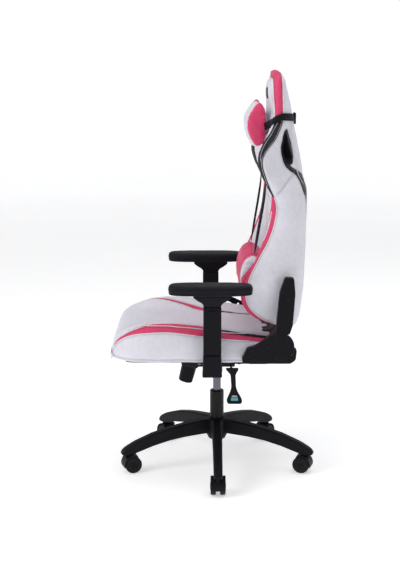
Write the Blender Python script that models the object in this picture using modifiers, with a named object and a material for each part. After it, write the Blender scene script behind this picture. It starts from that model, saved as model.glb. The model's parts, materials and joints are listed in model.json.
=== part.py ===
"""A racing-style gaming chair, built as separate pieces. Metres, +Z up, front towards -Y, left side +X.

Every shape is given from the gas lift's axis. The root empty then moves the whole chair by COLUMN_Y,
so that the origin is the middle of the chair's box, on the floor.
"""

import math

import bmesh
import bpy
from mathutils import Matrix, Vector

# ---- driving dimensions (metres) ----
GAP = 0.0003                  # left between pieces that touch
COLUMN_Y = 0.0112             # from the middle of the chair's box back to the gas lift's axis

LEG_COUNT = 5
BASE_RADIUS = 0.352           # out to the tip of a leg
LEG_WIDTH = 0.030
STEM_RADIUS_OUT = 0.333       # from the column to a caster's stem
CASTER_TRAIL = 0.020
WHEEL_RADIUS = 0.030
CASTER_WIDTH = 0.050

TUBE_RADIUS = 0.0245
TUBE_TOP = 0.2705
CYLINDER_RADIUS = 0.014
TAPER_TOP = 0.385

TILT_Y, TILT_Z = -0.060, 0.385          # the pin that the seat rocks on
PLATE_LOW, PLATE_HIGH = 0.4108, 0.4167  # steel plates under the seat pan
PAN_LOW, PAN_HIGH = 0.4170, 0.4360
KNOB_Y, KNOB_Z = -0.0975, 0.3600
KNOB_LEAN = math.radians(14.5)
LEVER_Y, LEVER_Z = 0.048, 0.378         # the rod of the tilt lock's lever
LIFT_LEVER_Y, LIFT_LEVER_Z = -0.015, 0.384
LIFT_LEVER_DROP = 0.012       # the lift lever's paddle hangs this far below its pivot

SEAT_HALF = 0.255
SEAT_FRONT, SEAT_REAR = -0.3605, 0.172

RECLINE_Y, RECLINE_Z = 0.205, 0.500
COVER_IN, COVER_OUT = 0.2580, 0.2840    # both plastic hinge covers, from the middle of the chair
DISC_RADIUS = 0.0445

ARM_X, ARM_Y = 0.2980, -0.0200          # the middle of an armrest's sleeve
SLEEVE_HALF_X, SLEEVE_HALF_Y = 0.0190, 0.0293
SLEEVE_LOW, SLEEVE_HIGH = 0.4790, 0.6400
PAD_X, PAD_HALF_X, PAD_LENGTH = 0.3030, 0.0490, 0.274
PAD_LOW, PAD_HIGH = 0.6816, 0.7135
PAD_Y = {"left": -0.0260, "right": -0.0410}

SLOT_LEAN = math.radians(18)            # the harness openings lean outward towards the back
SLOT_MIDDLE = (0.164, 0.190, 1.138)

SIDES = {"left": 1, "right": -1}

COLOURS = {                             # colour, roughness, metallic
    "white_leather": ((0.80, 0.79, 0.86), 0.45, 0.0),
    "pink_leather": ((0.78, 0.10, 0.22), 0.45, 0.0),
    "black_webbing": ((0.012, 0.012, 0.016), 0.80, 0.0),
    "black_plastic": ((0.010, 0.011, 0.016), 0.45, 0.0),
    "black_nylon": ((0.012, 0.012, 0.015), 0.55, 0.0),
    "black_foam": ((0.016, 0.018, 0.026), 0.60, 0.0),
    "black_steel": ((0.012, 0.012, 0.014), 0.40, 0.6),
    "bare_steel": ((0.20, 0.20, 0.23), 0.35, 0.9),
}


# ---- helpers ----
def clear_scene():
    for obj in list(bpy.data.objects):
        bpy.data.objects.remove(obj, do_unlink=True)


def collection(name, hidden=False):
    made = bpy.data.collections.new(name)
    made.hide_render = hidden
    bpy.context.scene.collection.children.link(made)
    return made


def material(name):
    found = bpy.data.materials.get(name)
    if found:
        return found
    colour, roughness, metallic = COLOURS[name]
    made = bpy.data.materials.new(name)
    made.use_nodes = True
    shader = made.node_tree.nodes["Principled BSDF"]
    shader.inputs["Base Color"].default_value = (*colour, 1)
    shader.inputs["Roughness"].default_value = roughness
    shader.inputs["Metallic"].default_value = metallic
    made.diffuse_color = (*colour, 1)
    return made


def empty(name, location, parent=None):
    """An empty at a place given in the chair's own coordinates, unturned, so it only carries."""
    made = bpy.data.objects.new(name, None)
    made.location = Vector(location)
    EMPTY_AT[name] = Vector(location)
    if parent:
        made.parent = parent
        made.matrix_parent_inverse = Matrix.Translation(-EMPTY_AT[parent.name])
    PARTS.objects.link(made)
    return made


def finish(obj, name, slot, parent):
    """Name a piece, give it its material, and hang it on its joint's empty with its cutters, unmoved."""
    obj.name = name
    obj.data.materials.clear()
    obj.data.materials.append(material(slot))
    obj.data.shade_smooth()
    if obj.type == "MESH":
        obj.data.set_sharp_from_angle(angle=math.radians(35))
    obj.parent = parent
    obj.matrix_parent_inverse = Matrix.Translation(-EMPTY_AT[parent.name])
    if obj.name not in PARTS.objects:
        CUTTERS.objects.unlink(obj)
        PARTS.objects.link(obj)
    obj.hide_render = False
    obj.display_type = "TEXTURED"
    for modifier in obj.modifiers:
        if modifier.type == "BOOLEAN":
            modifier.object.parent = obj
    return obj


def helper_object(mesh):
    """A new object starts as a cutter or guide, until finish() makes it a part."""
    obj = bpy.data.objects.new("guide", mesh)
    CUTTERS.objects.link(obj)
    obj.hide_render = True
    obj.display_type = "WIRE"
    return obj


def from_bmesh(bm):
    bmesh.ops.recalc_face_normals(bm, faces=bm.faces)
    mesh = bpy.data.meshes.new("shape")
    bm.to_mesh(mesh)
    bm.free()
    return helper_object(mesh)


def baked(obj):
    """The same object with its modifiers applied, as a plain mesh with welded points."""
    bpy.context.view_layer.update()
    mesh = bpy.data.meshes.new_from_object(obj.evaluated_get(bpy.context.evaluated_depsgraph_get()))
    mesh.transform(obj.matrix_world)
    bm = bmesh.new()
    bm.from_mesh(mesh)
    bmesh.ops.remove_doubles(bm, verts=bm.verts, dist=1e-6)
    bm.to_mesh(mesh)
    bm.free()
    bpy.data.objects.remove(obj, do_unlink=True)
    return helper_object(mesh)


def block(low, high, soft=0.0, segments=1):
    """A box between two corners, with its edges rounded by soft."""
    low, high = Vector(low), Vector(high)
    bm = bmesh.new()
    place = Matrix.Translation((low + high) / 2) @ Matrix.Diagonal((*(high - low), 1))
    bmesh.ops.create_cube(bm, size=1, matrix=place)
    obj = from_bmesh(bm)
    return soften(obj, soft, segments) if soft else obj


def rod(start, end, radius, segments=20, end_radius=None):
    """A cylinder or cone between two points."""
    start, end = Vector(start), Vector(end)
    turn = (end - start).to_track_quat("Z", "Y").to_matrix().to_4x4()
    bm = bmesh.new()
    bmesh.ops.create_cone(
        bm, cap_ends=True, segments=segments, radius1=radius, depth=(end - start).length,
        radius2=radius if end_radius is None else end_radius,
        matrix=Matrix.Translation((start + end) / 2) @ turn)
    return from_bmesh(bm)


PLANE_TURNS = {"YZ": (math.pi / 2, 0, math.pi / 2), "XZ": (math.pi / 2, 0, 0), "XY": (0, 0, 0)}
PLANE_NORMALS = {"YZ": Vector((1, 0, 0)), "XZ": Vector((0, 1, 0)), "XY": Vector((0, 0, 1))}


def plate(outline, low, high, plane="YZ", hole=None):
    """A flat outline, with an optional hole, thickened between two places along the plane's normal."""
    curve = bpy.data.curves.new("outline", "CURVE")
    curve.dimensions = "2D"
    curve.fill_mode = "BOTH"
    curve.extrude = abs(high - low) / 2
    for loop in [outline] + ([hole] if hole else []):
        spline = curve.splines.new("POLY")
        spline.points.add(len(loop) - 1)
        for point, (across, up) in zip(spline.points, loop):
            point.co = (across, up, 0, 1)
        spline.use_cyclic_u = True
    obj = bpy.data.objects.new("outline", curve)
    CUTTERS.objects.link(obj)
    obj.rotation_euler = PLANE_TURNS[plane]
    obj.location = PLANE_NORMALS[plane] * (low + high) / 2
    return baked(obj)


def turned(profile, steps, place=Matrix.Identity(4), closed=False):
    """A profile of (radius, height) points, listed down its outer side, turned about the local Z axis."""
    mesh = bpy.data.meshes.new("profile")
    count = len(profile)
    edges = [(i, (i + 1) % count) for i in range(count if closed else count - 1)]
    mesh.from_pydata([(r, 0, z) for r, z in profile], edges, [])
    obj = helper_object(mesh)
    screw = obj.modifiers.new("turn", "SCREW")
    screw.steps = screw.render_steps = steps
    screw.use_merge_vertices = True
    screw.merge_threshold = 1e-5
    obj.matrix_world = place
    return baked(obj)


def soften(obj, width, segments=1):
    bevel = obj.modifiers.new("edges", "BEVEL")
    bevel.width = width
    bevel.segments = segments
    bevel.limit_method = "ANGLE"
    return obj


def combine(obj, operation, others):
    for other in others:
        change = obj.modifiers.new(operation.lower(), "BOOLEAN")
        change.operation = operation
        change.object = other
    return obj


def join(obj, *others):
    return combine(obj, "UNION", others)


def cut(obj, *others):
    return combine(obj, "DIFFERENCE", others)


def arc(centre, radius, start, end, steps):
    """Points along an arc, its angles in degrees."""
    angles = [math.radians(start + (end - start) * i / steps) for i in range(steps + 1)]
    return [(centre[0] + radius * math.cos(a), centre[1] + radius * math.sin(a)) for a in angles]


def to_side(obj, side):
    """A piece drawn on the left, baked, and reflected when it is wanted on the right."""
    tools = [modifier.object for modifier in obj.modifiers if modifier.type == "BOOLEAN"]
    obj = baked(obj)
    for tool in tools:
        bpy.data.objects.remove(tool, do_unlink=True)
    if side == "right":
        obj.data.transform(Matrix.Scale(-1, 4, Vector((1, 0, 0))))
        obj.data.flip_normals()
    return obj


def rounded(outline, radius, steps=3):
    """The outline with each corner replaced by an arc-like curve of about this radius."""
    points = [Vector(p) for p in outline]
    result = []
    for i, corner in enumerate(points):
        before, after = points[i - 1], points[(i + 1) % len(points)]
        reach = min(radius, (corner - before).length * 0.45, (corner - after).length * 0.45)
        start = corner + (before - corner).normalized() * reach
        end = corner + (after - corner).normalized() * reach
        for k in range(steps + 1):
            t = k / steps
            result.append(tuple(start * (1 - t) ** 2 + corner * 2 * t * (1 - t) + end * t ** 2))
    return result


def loft(rings):
    """A closed body through rings with equal numbers of points, its two ends capped."""
    bm = bmesh.new()
    rows = [[bm.verts.new(point) for point in ring] for ring in rings]
    count = len(rows[0])
    for lower, upper in zip(rows, rows[1:]):
        for i in range(count):
            j = (i + 1) % count
            bm.faces.new((lower[i], lower[j], upper[j], upper[i]))
    bm.faces.new(rows[0])
    bm.faces.new(rows[-1])
    return from_bmesh(bm)


def smooth_table(table, at):
    """A value read from a table of (place, value) rows, eased between them by Catmull-Rom's rule."""
    if at <= table[0][0]:
        return table[0][1]
    if at >= table[-1][0]:
        return table[-1][1]
    i = max(k for k in range(len(table) - 1) if table[k][0] <= at)
    (x0, y0), (x1, y1) = table[i], table[i + 1]
    before = table[i - 1] if i else table[i]
    after = table[i + 2] if i + 2 < len(table) else table[i + 1]
    slope0 = (y1 - before[1]) / (x1 - before[0])
    slope1 = (after[1] - y0) / (after[0] - x0)
    t, span = (at - x0) / (x1 - x0), x1 - x0
    return ((2 * t ** 3 - 3 * t ** 2 + 1) * y0 + (t ** 3 - 2 * t ** 2 + t) * span * slope0
            + (-2 * t ** 3 + 3 * t ** 2) * y1 + (t ** 3 - t ** 2) * span * slope1)


def mirrored_ring(half):
    """A full loop from half of one: points (x, a) from the middle line round to the middle line."""
    return half + [(-x, a) for x, a in reversed(half[1:-1])]


# ---- base and casters ----
LEG_SECTIONS = [                        # distance out, half width, underside, top
    (0.028, 0.0185, 0.1180, 0.1680), (0.060, 0.0180, 0.1165, 0.1665), (0.120, 0.0172, 0.1125, 0.1580),
    (0.180, 0.0164, 0.1045, 0.1470), (0.240, 0.0157, 0.0905, 0.1320), (0.300, 0.0150, 0.0715, 0.1100),
    (0.316, 0.0150, 0.0668, 0.1025), (0.338, 0.0148, 0.0668, 0.0900), (0.348, 0.0135, 0.0668, 0.0825),
    (BASE_RADIUS, 0.0105, 0.0690, 0.0745)]


def leg_ring(distance, half, low, high):
    corner = min(0.005, (high - low) * 0.4)
    points = [(-half, low), (half, low), (half, high - corner), (half - corner, high),
              (corner - half, high), (-half, high - corner)]
    return [(distance, y, z) for y, z in points]


def make_leg(angle):
    """One tapered leg with a groove along its underside."""
    leg = loft([leg_ring(*section) for section in LEG_SECTIONS])
    roof = [(out, high - 0.012) for out, half, low, high in LEG_SECTIONS[1:6]]
    groove = plate(roof + [(0.290, 0.050), (0.065, 0.060)], -LEG_WIDTH * 0.28, LEG_WIDTH * 0.28, "XZ")
    leg = baked(cut(leg, groove))
    bpy.data.objects.remove(groove, do_unlink=True)
    leg.data.transform(Matrix.Rotation(angle, 4, "Z"))
    return leg


def make_star_base(parent):
    legs = [make_leg(2 * math.pi * k / LEG_COUNT) for k in range(LEG_COUNT)]
    hub = turned([(0, 0.1695), (0.034, 0.1695), (0.0385, 0.165), (0.0385, 0.112), (0.030, 0.094), (0, 0.094)], 32)
    bore = rod((0, 0, 0.05), (0, 0, 0.30), TUBE_RADIUS + GAP, 32)
    sockets = []
    for k in range(LEG_COUNT):
        x, y = caster_place(k)
        sockets.append(rod((x, y, 0.050), (x, y, 0.0885), 0.0058, 12))
    cut(join(hub, *legs), bore, *sockets)
    return finish(hub, "star_base", "black_nylon", parent)


def caster_place(k):
    angle = 2 * math.pi * k / LEG_COUNT
    return STEM_RADIUS_OUT * math.cos(angle), STEM_RADIUS_OUT * math.sin(angle)


def make_hood():
    """A caster's body about its stem, outward along +X: a mudguard over the wheels, a web and a boss."""
    axle = (-CASTER_TRAIL, WHEEL_RADIUS)
    guard = plate(arc(axle, 0.0343, -12, 118, 11) + arc(axle, 0.0313, 118, -12, 11),
                  -CASTER_WIDTH / 2, CASTER_WIDTH / 2, "XZ")
    web = plate(arc(axle, 0.0325, -10, 116, 9) + arc(axle, 0.0085, 150, 316, 6), -0.0062, 0.0062, "XZ")
    boss = rod((0, 0, 0.030), (0, 0, 0.0640), 0.0065, 16)
    stem_bore = rod((0, 0, 0.0385), (0, 0, 0.080), 0.0043, 12)
    axle_bore = rod((axle[0], -0.04, axle[1]), (axle[0], 0.04, axle[1]), 0.0045, 12)
    tools = [web, boss, stem_bore, axle_bore]
    hood = baked(cut(join(guard, web, boss), stem_bore, axle_bore))
    for tool in tools:
        bpy.data.objects.remove(tool, do_unlink=True)
    return hood


def make_wheels():
    """Twin wheels pressed on one axle, turned about the axle at the caster's place."""
    half = [(0, 0.0250), (0.0270, 0.0250), (0.0300, 0.0220), (0.0300, 0.0100), (0.0275, 0.0068), (0.004, 0.0068)]
    profile = half + [(r, -z) for r, z in reversed(half)]
    place = Matrix.Translation((-CASTER_TRAIL, 0, WHEEL_RADIUS)) @ Matrix.Rotation(-math.pi / 2, 4, "X")
    return turned(profile, 16, place)


def make_casters(parent):
    hood, wheels = make_hood(), make_wheels()
    stem = turned([(0, 0.0880), (0.0055, 0.0880), (0.0055, 0.0667), (0.0080, 0.0667), (0.0080, 0.0645),
                   (0.0040, 0.0645), (0.0040, 0.0400), (0, 0.0400)], 12)
    for k in range(LEG_COUNT):
        x, y = caster_place(k)
        place = Matrix.Translation((x, y, 0)) @ Matrix.Rotation(2 * math.pi * k / LEG_COUNT, 4, "Z")
        swivel = empty(f"caster_{k + 1}_swivel", (x, y, 0.05), parent)
        axle_at = place @ Vector((-CASTER_TRAIL, 0, WHEEL_RADIUS))
        axle = empty(f"caster_{k + 1}_axle", axle_at, swivel)
        for shape, name, slot, holder in (
                (stem, "stem", "bare_steel", parent), (hood, "hood", "black_nylon", swivel),
                (wheels, "wheels", "black_nylon", axle)):
            copy = helper_object(shape.data.copy())
            copy.data.transform(place)
            finish(copy, f"caster_{k + 1}_{name}", slot, holder)
    for shape in (stem, hood, wheels):
        bpy.data.objects.remove(shape, do_unlink=True)


# ---- gas lift ----
def make_column_tube(parent):
    profile = [(0.0225, TUBE_TOP), (TUBE_RADIUS, TUBE_TOP - 0.002), (TUBE_RADIUS, 0.0935), (0.0056, 0.0935),
               (0.0056, 0.0985), (0.0222, 0.0985), (0.0222, 0.2280), (0.0150, 0.2320), (0.0150, TUBE_TOP)]
    return finish(turned(profile, 32, closed=True), "column_tube", "black_steel", parent)


def make_piston_rod(parent):
    profile = [(0, 0.250), (0.0050, 0.250), (0.0050, 0.0928), (0.0080, 0.0928), (0.0080, 0.0895), (0, 0.0895)]
    return finish(turned(profile, 16), "piston_rod", "bare_steel", parent)


def make_gas_cylinder(parent):
    profile = [(0, TAPER_TOP), (0.0130, TAPER_TOP), (CYLINDER_RADIUS, 0.345), (CYLINDER_RADIUS, 0.158),
               (0.0055, 0.158), (0.0055, 0.316), (0, 0.316)]
    return finish(turned(profile, 28), "gas_cylinder", "bare_steel", parent)


# ---- tilt mechanism ----
def knob_matrix():
    return Matrix.Translation((0, KNOB_Y, KNOB_Z)) @ Matrix.Rotation(-KNOB_LEAN, 4, "X")


def make_mechanism_housing(parent):
    side = [(-0.125, 0.402), (-0.040, 0.402), (0.062, 0.3835), (0.062, 0.3660), (-0.066, 0.3660),
            (-0.0725, 0.3580), (-0.125, 0.3715)]
    housing = soften(plate(rounded(side, 0.004, 2), -0.045, 0.045), 0.002)
    channel = block((-0.040, -0.119, 0.3760), (0.040, 0.056, 0.45))
    socket = turned([(0, 0.3945), (0.0195, 0.3945), (0.0195, 0.337), (0.0185, 0.335), (0, 0.335)], 28)
    spring_post = rod((0, KNOB_Y + 0.0010, KNOB_Z + 0.0080), (0, KNOB_Y + 0.0065, 0.399), 0.011, 16)
    taper = turned([(0, 0.45), (0.0133, 0.45), (0.0133, TAPER_TOP), (0.0143, 0.345), (0.0143, 0.30), (0, 0.30)], 28)
    stud_bore = turned([(0, 0.030), (0.0056, 0.030), (0.0056, -0.020), (0, -0.020)], 16, knob_matrix())
    pin_bore = rod((-0.06, TILT_Y, TILT_Z), (0.06, TILT_Y, TILT_Z), 0.0053, 16)
    lock_bore = rod((0.030, LEVER_Y, LEVER_Z), (0.060, LEVER_Y, LEVER_Z), 0.0043, 12)
    lift_bore = block((-0.060, LIFT_LEVER_Y - 0.0046, LIFT_LEVER_Z - 0.0060),
                      (-0.030, LIFT_LEVER_Y + 0.0046, LIFT_LEVER_Z + 0.0080))
    cut(housing, channel)
    join(housing, socket, spring_post)
    cut(housing, taper, stud_bore, pin_bore, lock_bore, lift_bore)
    return finish(housing, "mechanism_housing", "black_steel", parent)


def make_seat_plate(parent):
    top = soften(block((-0.092, -0.140, PLATE_LOW), (0.092, 0.095, PLATE_HIGH)), 0.001)
    ear = [(-0.092, PLATE_LOW + 0.002), (-0.082, 0.376), (-0.072, 0.370), (-0.048, 0.370), (-0.038, 0.376),
           (-0.028, PLATE_LOW + 0.002)]
    ears = [plate(ear, 0.0465, 0.0505), plate(ear, -0.0505, -0.0465)]
    pin_bore = rod((-0.08, TILT_Y, TILT_Z), (0.08, TILT_Y, TILT_Z), 0.0053, 16)
    return finish(cut(join(top, *ears), pin_bore), "seat_plate", "black_steel", parent)


def make_tilt_pin(parent):
    pin = rod((-0.0540, TILT_Y, TILT_Z), (0.0540, TILT_Y, TILT_Z), 0.0050, 16)
    return finish(pin, "tilt_pin", "bare_steel", parent)


def make_tension_knob(parent):
    """A cup under the housing's nose, with its stud up the middle."""
    profile = [(0, 0.022), (0.0050, 0.022), (0.0050, -0.0450), (0.0215, -0.0450), (0.0225, -0.0010),
               (0.0260, -0.0010), (0.0265, -0.0130), (0.0250, -0.0560), (0.0225, -0.0590), (0, -0.0590)]
    return finish(turned(profile, 28, knob_matrix()), "tension_knob", "black_plastic", parent)


def make_tilt_spring(parent):
    turns, per_turn, low, high = 5, 10, -0.0420, -0.0040
    curve = bpy.data.curves.new("coil", "CURVE")
    curve.dimensions = "3D"
    curve.bevel_depth = 0.0017
    curve.bevel_resolution = 1
    curve.use_fill_caps = True
    spline = curve.splines.new("POLY")
    count = turns * per_turn
    spline.points.add(count)
    for i, point in enumerate(spline.points):
        turn = 2 * math.pi * i / per_turn
        place = Vector((0.0130 * math.cos(turn), 0.0130 * math.sin(turn), low + (high - low) * i / count))
        point.co = (*place, 1)
    obj = bpy.data.objects.new("coil", curve)
    CUTTERS.objects.link(obj)
    obj.matrix_world = knob_matrix()
    return finish(baked(obj), "tilt_spring", "bare_steel", parent)


def make_height_lever(parent):
    end_z = LIFT_LEVER_Z - LIFT_LEVER_DROP
    lever = rod((-0.0290, LIFT_LEVER_Y, LIFT_LEVER_Z), (-0.200, LIFT_LEVER_Y, end_z), 0.0040, 12)
    outline = [(-0.182, -0.024), (-0.200, -0.036), (-0.236, -0.038), (-0.240, -0.015), (-0.236, 0.008),
               (-0.200, 0.006), (-0.182, -0.006)]
    paddle = soften(plate(rounded(outline, 0.008), end_z - 0.0048, end_z + 0.0048, "XY"), 0.0015)
    return finish(join(lever, paddle), "height_lever", "black_plastic", parent)


def make_tilt_lock_lever(parent):
    half = [(0.021, 0.4005), (0.021, 0.3960), (0.0085, 0.3790), (0.0080, 0.3350), (0.0120, 0.3190),
            (0.0255, 0.2920), (0.0265, 0.2830), (0.0210, 0.2762)]
    middles = [0.0485, 0.0488, 0.0515, 0.0540, 0.0550, 0.0565, 0.0568, 0.0570]
    outline = [(m + w, z) for m, (w, z) in zip(middles, half)]
    outline += [(m - w, z) for m, (w, z) in reversed(list(zip(middles, half)))]
    handle = soften(plate(rounded(outline, 0.005, 2), 0.1800, 0.1920), 0.0022)
    shaft = rod((0.0410, LEVER_Y, LEVER_Z), (0.1850, LEVER_Y, LEVER_Z), 0.0040, 12)
    return finish(join(handle, shaft), "tilt_lock_lever", "black_plastic", parent)


# ---- seat ----
BOLSTER_TOP = [(-0.3590, 0.462), (-0.3500, 0.490), (-0.3330, 0.516), (-0.300, 0.5370), (-0.245, 0.5560),
               (-0.188, 0.5640), (-0.097, 0.5600), (-0.010, 0.5480), (0.100, 0.5300), (0.172, 0.5200)]
CENTRE_TOP = [(-0.3590, 0.462), (-0.3500, 0.488), (-0.3330, 0.510), (-0.300, 0.5240), (-0.245, 0.5300),
              (-0.188, 0.5270), (-0.097, 0.5180), (0.172, 0.5060)]
SEAT_UNDER = [(-0.3605, 0.4530), (-0.3400, 0.4440), (-0.300, 0.4395), (-0.226, 0.4375), (0.094, 0.4375),
              (0.1, 0.4422), (0.172, 0.4422)]
SEAT_WIDTH = [(-0.3605, 0.205), (-0.3500, 0.225), (-0.320, 0.242), (-0.260, 0.252), (-0.150, SEAT_HALF),
              (0.080, SEAT_HALF), (0.172, 0.248)]


def seat_ring(y):
    """A cross-section of the cushion: flat underneath, upright sides, a crest on each bolster."""
    half, under = smooth_table(SEAT_WIDTH, y), smooth_table(SEAT_UNDER, y)
    crest, middle = smooth_table(BOLSTER_TOP, y), smooth_table(CENTRE_TOP, y)
    crest_x = half - 0.055
    points = [(0, under), (half * 0.93, under), (half, under + 0.012), (half, crest - 0.035),
              (half - 0.010, crest - 0.012), (half - 0.030, crest - 0.001), (crest_x, crest),
              (half - 0.085, crest - (crest - middle) * 0.30), (half - 0.120, crest - (crest - middle) * 0.85),
              (0.060, middle), (0, middle)]
    return [(x, y, z) for x, z in mirrored_ring(points)]


def make_seat_cushion(parent):
    places = [SEAT_FRONT, -0.3520, -0.335, -0.305, -0.26, -0.20, -0.13, -0.05, 0.03, 0.0945, 0.1, SEAT_REAR]
    return finish(loft([seat_ring(y) for y in places]), "seat_cushion", "white_leather", parent)


def make_seat_pan(parent):
    outline = rounded([(-0.176, -0.315), (0.176, -0.315), (0.176, 0.165), (-0.176, 0.165)], 0.030)
    return finish(plate(outline, PAN_LOW, PAN_HIGH, "XY"), "seat_pan", "black_steel", parent)


# ---- recline hinges ----
LOWER_COVER = [(0.1810, 0.5420), (0.1640, 0.5350), (0.1420, 0.5130), (0.1160, 0.4990), (0.0940, 0.4935),
               (0.0770, 0.4555), (0.0820, 0.4425), (0.2380, 0.4425), (0.2545, 0.4550), (0.2580, 0.4915),
               (0.2300, 0.4930)]
ARM_COVER = [(0.2330, 0.5400), (0.2430, 0.5710), (0.2500, 0.6780), (0.2450, 0.7290), (0.2160, 0.7305),
             (0.1990, 0.6780), (0.1890, 0.5690), (0.1880, 0.5400)]


def make_lower_cover(side, parent):
    """The seat side's half of the hinge housing, scooped out round the turning disc and open inboard."""
    low, high = COVER_IN - 0.01, COVER_OUT + 0.01
    shell = soften(plate(rounded(LOWER_COVER, 0.006, 2), COVER_IN, COVER_OUT), 0.0022)
    inner = [(0.0860, 0.4560), (0.0860, 0.4465), (0.1015, 0.4465), (0.1015, 0.4300), (0.1990, 0.4300),
             (0.1990, 0.4465), (0.2360, 0.4465), (0.2500, 0.4570), (0.2520, 0.4600),
             (0.2460, 0.4800), (0.1550, 0.5150), (0.1000, 0.4890)]
    hollow = plate(inner, low, COVER_OUT - 0.003)
    scoop = rod((low, RECLINE_Y, RECLINE_Z), (high, RECLINE_Y, RECLINE_Z), DISC_RADIUS + 0.0007, 40)
    sweep = block((low, RECLINE_Y - 0.0233, RECLINE_Z - 0.0034), (high, RECLINE_Y + 0.08, RECLINE_Z + 0.08))
    cover = to_side(cut(shell, hollow, scoop, sweep), side)
    return finish(cover, f"hinge_lower_cover_{side}", "black_plastic", parent)


def make_upper_cover(side, parent):
    """The arm cover and its disc, which turn with the backrest, open inboard."""
    sign = SIDES[side]
    centre = (RECLINE_Y, RECLINE_Z)
    outline = rounded(ARM_COVER, 0.006, 2)
    arm = soften(plate(outline, sign * COVER_IN, sign * COVER_OUT), 0.0025)
    disc = plate(arc(centre, DISC_RADIUS, 0, 351, 39), sign * 0.2705, sign * (COVER_OUT + 0.0001))
    room = plate([(0.2290, 0.5400), (0.2390, 0.5710), (0.2460, 0.6780), (0.2415, 0.7250), (0.2190, 0.7260),
                  (0.2030, 0.6780), (0.1930, 0.5690), (0.1920, 0.5300), (0.2290, 0.5300)],
                 sign * (COVER_IN - 0.01), sign * (COVER_OUT - 0.003))
    disc_room = plate(arc(centre, DISC_RADIUS - 0.003, 0, 350, 35),
                      sign * (COVER_IN - 0.01), sign * (COVER_OUT - 0.0031))
    cut(join(arm, disc), room, disc_room)
    return finish(arm, f"hinge_upper_cover_{side}", "black_plastic", parent)


def make_seat_bracket(side, parent):
    """The fixed hinge plate, with a foot that is bolted down on the seat pan."""
    sign = SIDES[side]
    centre = (RECLINE_Y, RECLINE_Z)
    foot_low = PAN_HIGH + GAP
    outline = arc(centre, 0.034, 100, -60, 14)
    outline += [(0.2000, 0.4560), (0.1600, foot_low), (0.1030, foot_low), (0.1030, 0.4640), (0.1600, 0.4850)]
    upright = plate(outline, sign * 0.2600, sign * 0.2640)
    foot = block((sign * 0.150, 0.1045, foot_low + 0.0001), (sign * 0.2620, 0.1585, foot_low + 0.0042))
    pin_bore = rod((sign * 0.25, *centre), (sign * 0.30, *centre), 0.0063, 16)
    return finish(cut(join(upright, foot), pin_bore), f"hinge_seat_bracket_{side}", "black_steel", parent)


def make_back_bracket(side, parent):
    """The turning hinge plate, with two bosses that meet the backrest's side."""
    sign = SIDES[side]
    centre = (RECLINE_Y, RECLINE_Z)
    outline = [(0.2240, 0.5250), (0.2310, 0.5700), (0.2370, 0.6700), (0.2340, 0.7180), (0.2220, 0.7180),
               (0.2100, 0.6700), (0.2000, 0.5700), (0.1960, 0.5300)] + arc(centre, 0.034, 105, 325, 16)
    upright = plate(outline, sign * 0.2656, sign * 0.2696)
    bosses = [rod((sign * 0.2460, y, z), (sign * 0.2670, y, z), 0.008, 14)
              for y, z in ((0.2200, 0.6100), (0.2260, 0.6850))]
    pin_bore = rod((sign * 0.25, *centre), (sign * 0.30, *centre), 0.0063, 16)
    return finish(cut(join(upright, *bosses), pin_bore), f"hinge_back_bracket_{side}", "black_steel", parent)


def make_hinge_bolt(side, parent):
    sign = SIDES[side]
    place = Matrix.Translation((0, RECLINE_Y, RECLINE_Z)) @ Matrix.Rotation(sign * math.pi / 2, 4, "Y")
    profile = [(0, 0.2740), (0.0105, 0.2740), (0.0105, 0.2703), (0.0060, 0.2703), (0.0060, 0.2560), (0, 0.2560)]
    return finish(turned(profile, 16, place), f"hinge_bolt_{side}", "bare_steel", parent)


def make_recline_lever(parent):
    """The release lever outside the right hinge: a boss on the pivot and a long grip towards the front."""
    outline = [(0.2230, 0.5080), (0.2180, 0.5170), (0.1950, 0.5200), (0.1500, 0.5200), (0.1000, 0.5260),
               (0.0720, 0.5390), (0.0400, 0.5520), (0.0250, 0.5500), (0.0200, 0.5400), (0.0300, 0.5330),
               (0.0520, 0.5260), (0.0720, 0.5110), (0.1050, 0.4990), (0.1500, 0.4950), (0.1880, 0.4880),
               (0.2000, 0.4830), (0.2170, 0.4850), (0.2250, 0.4960)]
    grip = soften(plate(rounded(outline, 0.008, 2), -0.2950, -0.2865), 0.002)
    eye = rod((-0.28, 0.0826, 0.5180), (-0.30, 0.0826, 0.5180), 0.0042, 12)
    return finish(cut(grip, eye), "recline_lever", "black_plastic", parent)


# ---- armrests ----
def make_arm_bracket(side, parent):
    """The steel angle under the pan, with the upright post that the sleeve slides on."""
    sign = SIDES[side]
    wide = block((sign * 0.0950, -0.0750, PLATE_LOW), (sign * 0.1700, 0.0880, PLATE_HIGH))
    strap = block((sign * 0.1600, ARM_Y - 0.0250, PLATE_LOW), (sign * (ARM_X + 0.010), ARM_Y + 0.0250, PLATE_HIGH))
    post = block((sign * (ARM_X - 0.010), ARM_Y - 0.0220, PLATE_LOW), (sign * (ARM_X + 0.010), ARM_Y + 0.0220, 0.6000))
    return finish(join(wide, strap, post), f"arm_bracket_{side}", "black_steel", parent)


def sleeve_box(side, low, high, grow_x, grow_y):
    sign = SIDES[side]
    return block((sign * (ARM_X - SLEEVE_HALF_X - grow_x), ARM_Y - SLEEVE_HALF_Y - grow_y, low),
                 (sign * (ARM_X + SLEEVE_HALF_X + grow_x), ARM_Y + SLEEVE_HALF_Y + grow_y, high))


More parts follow.
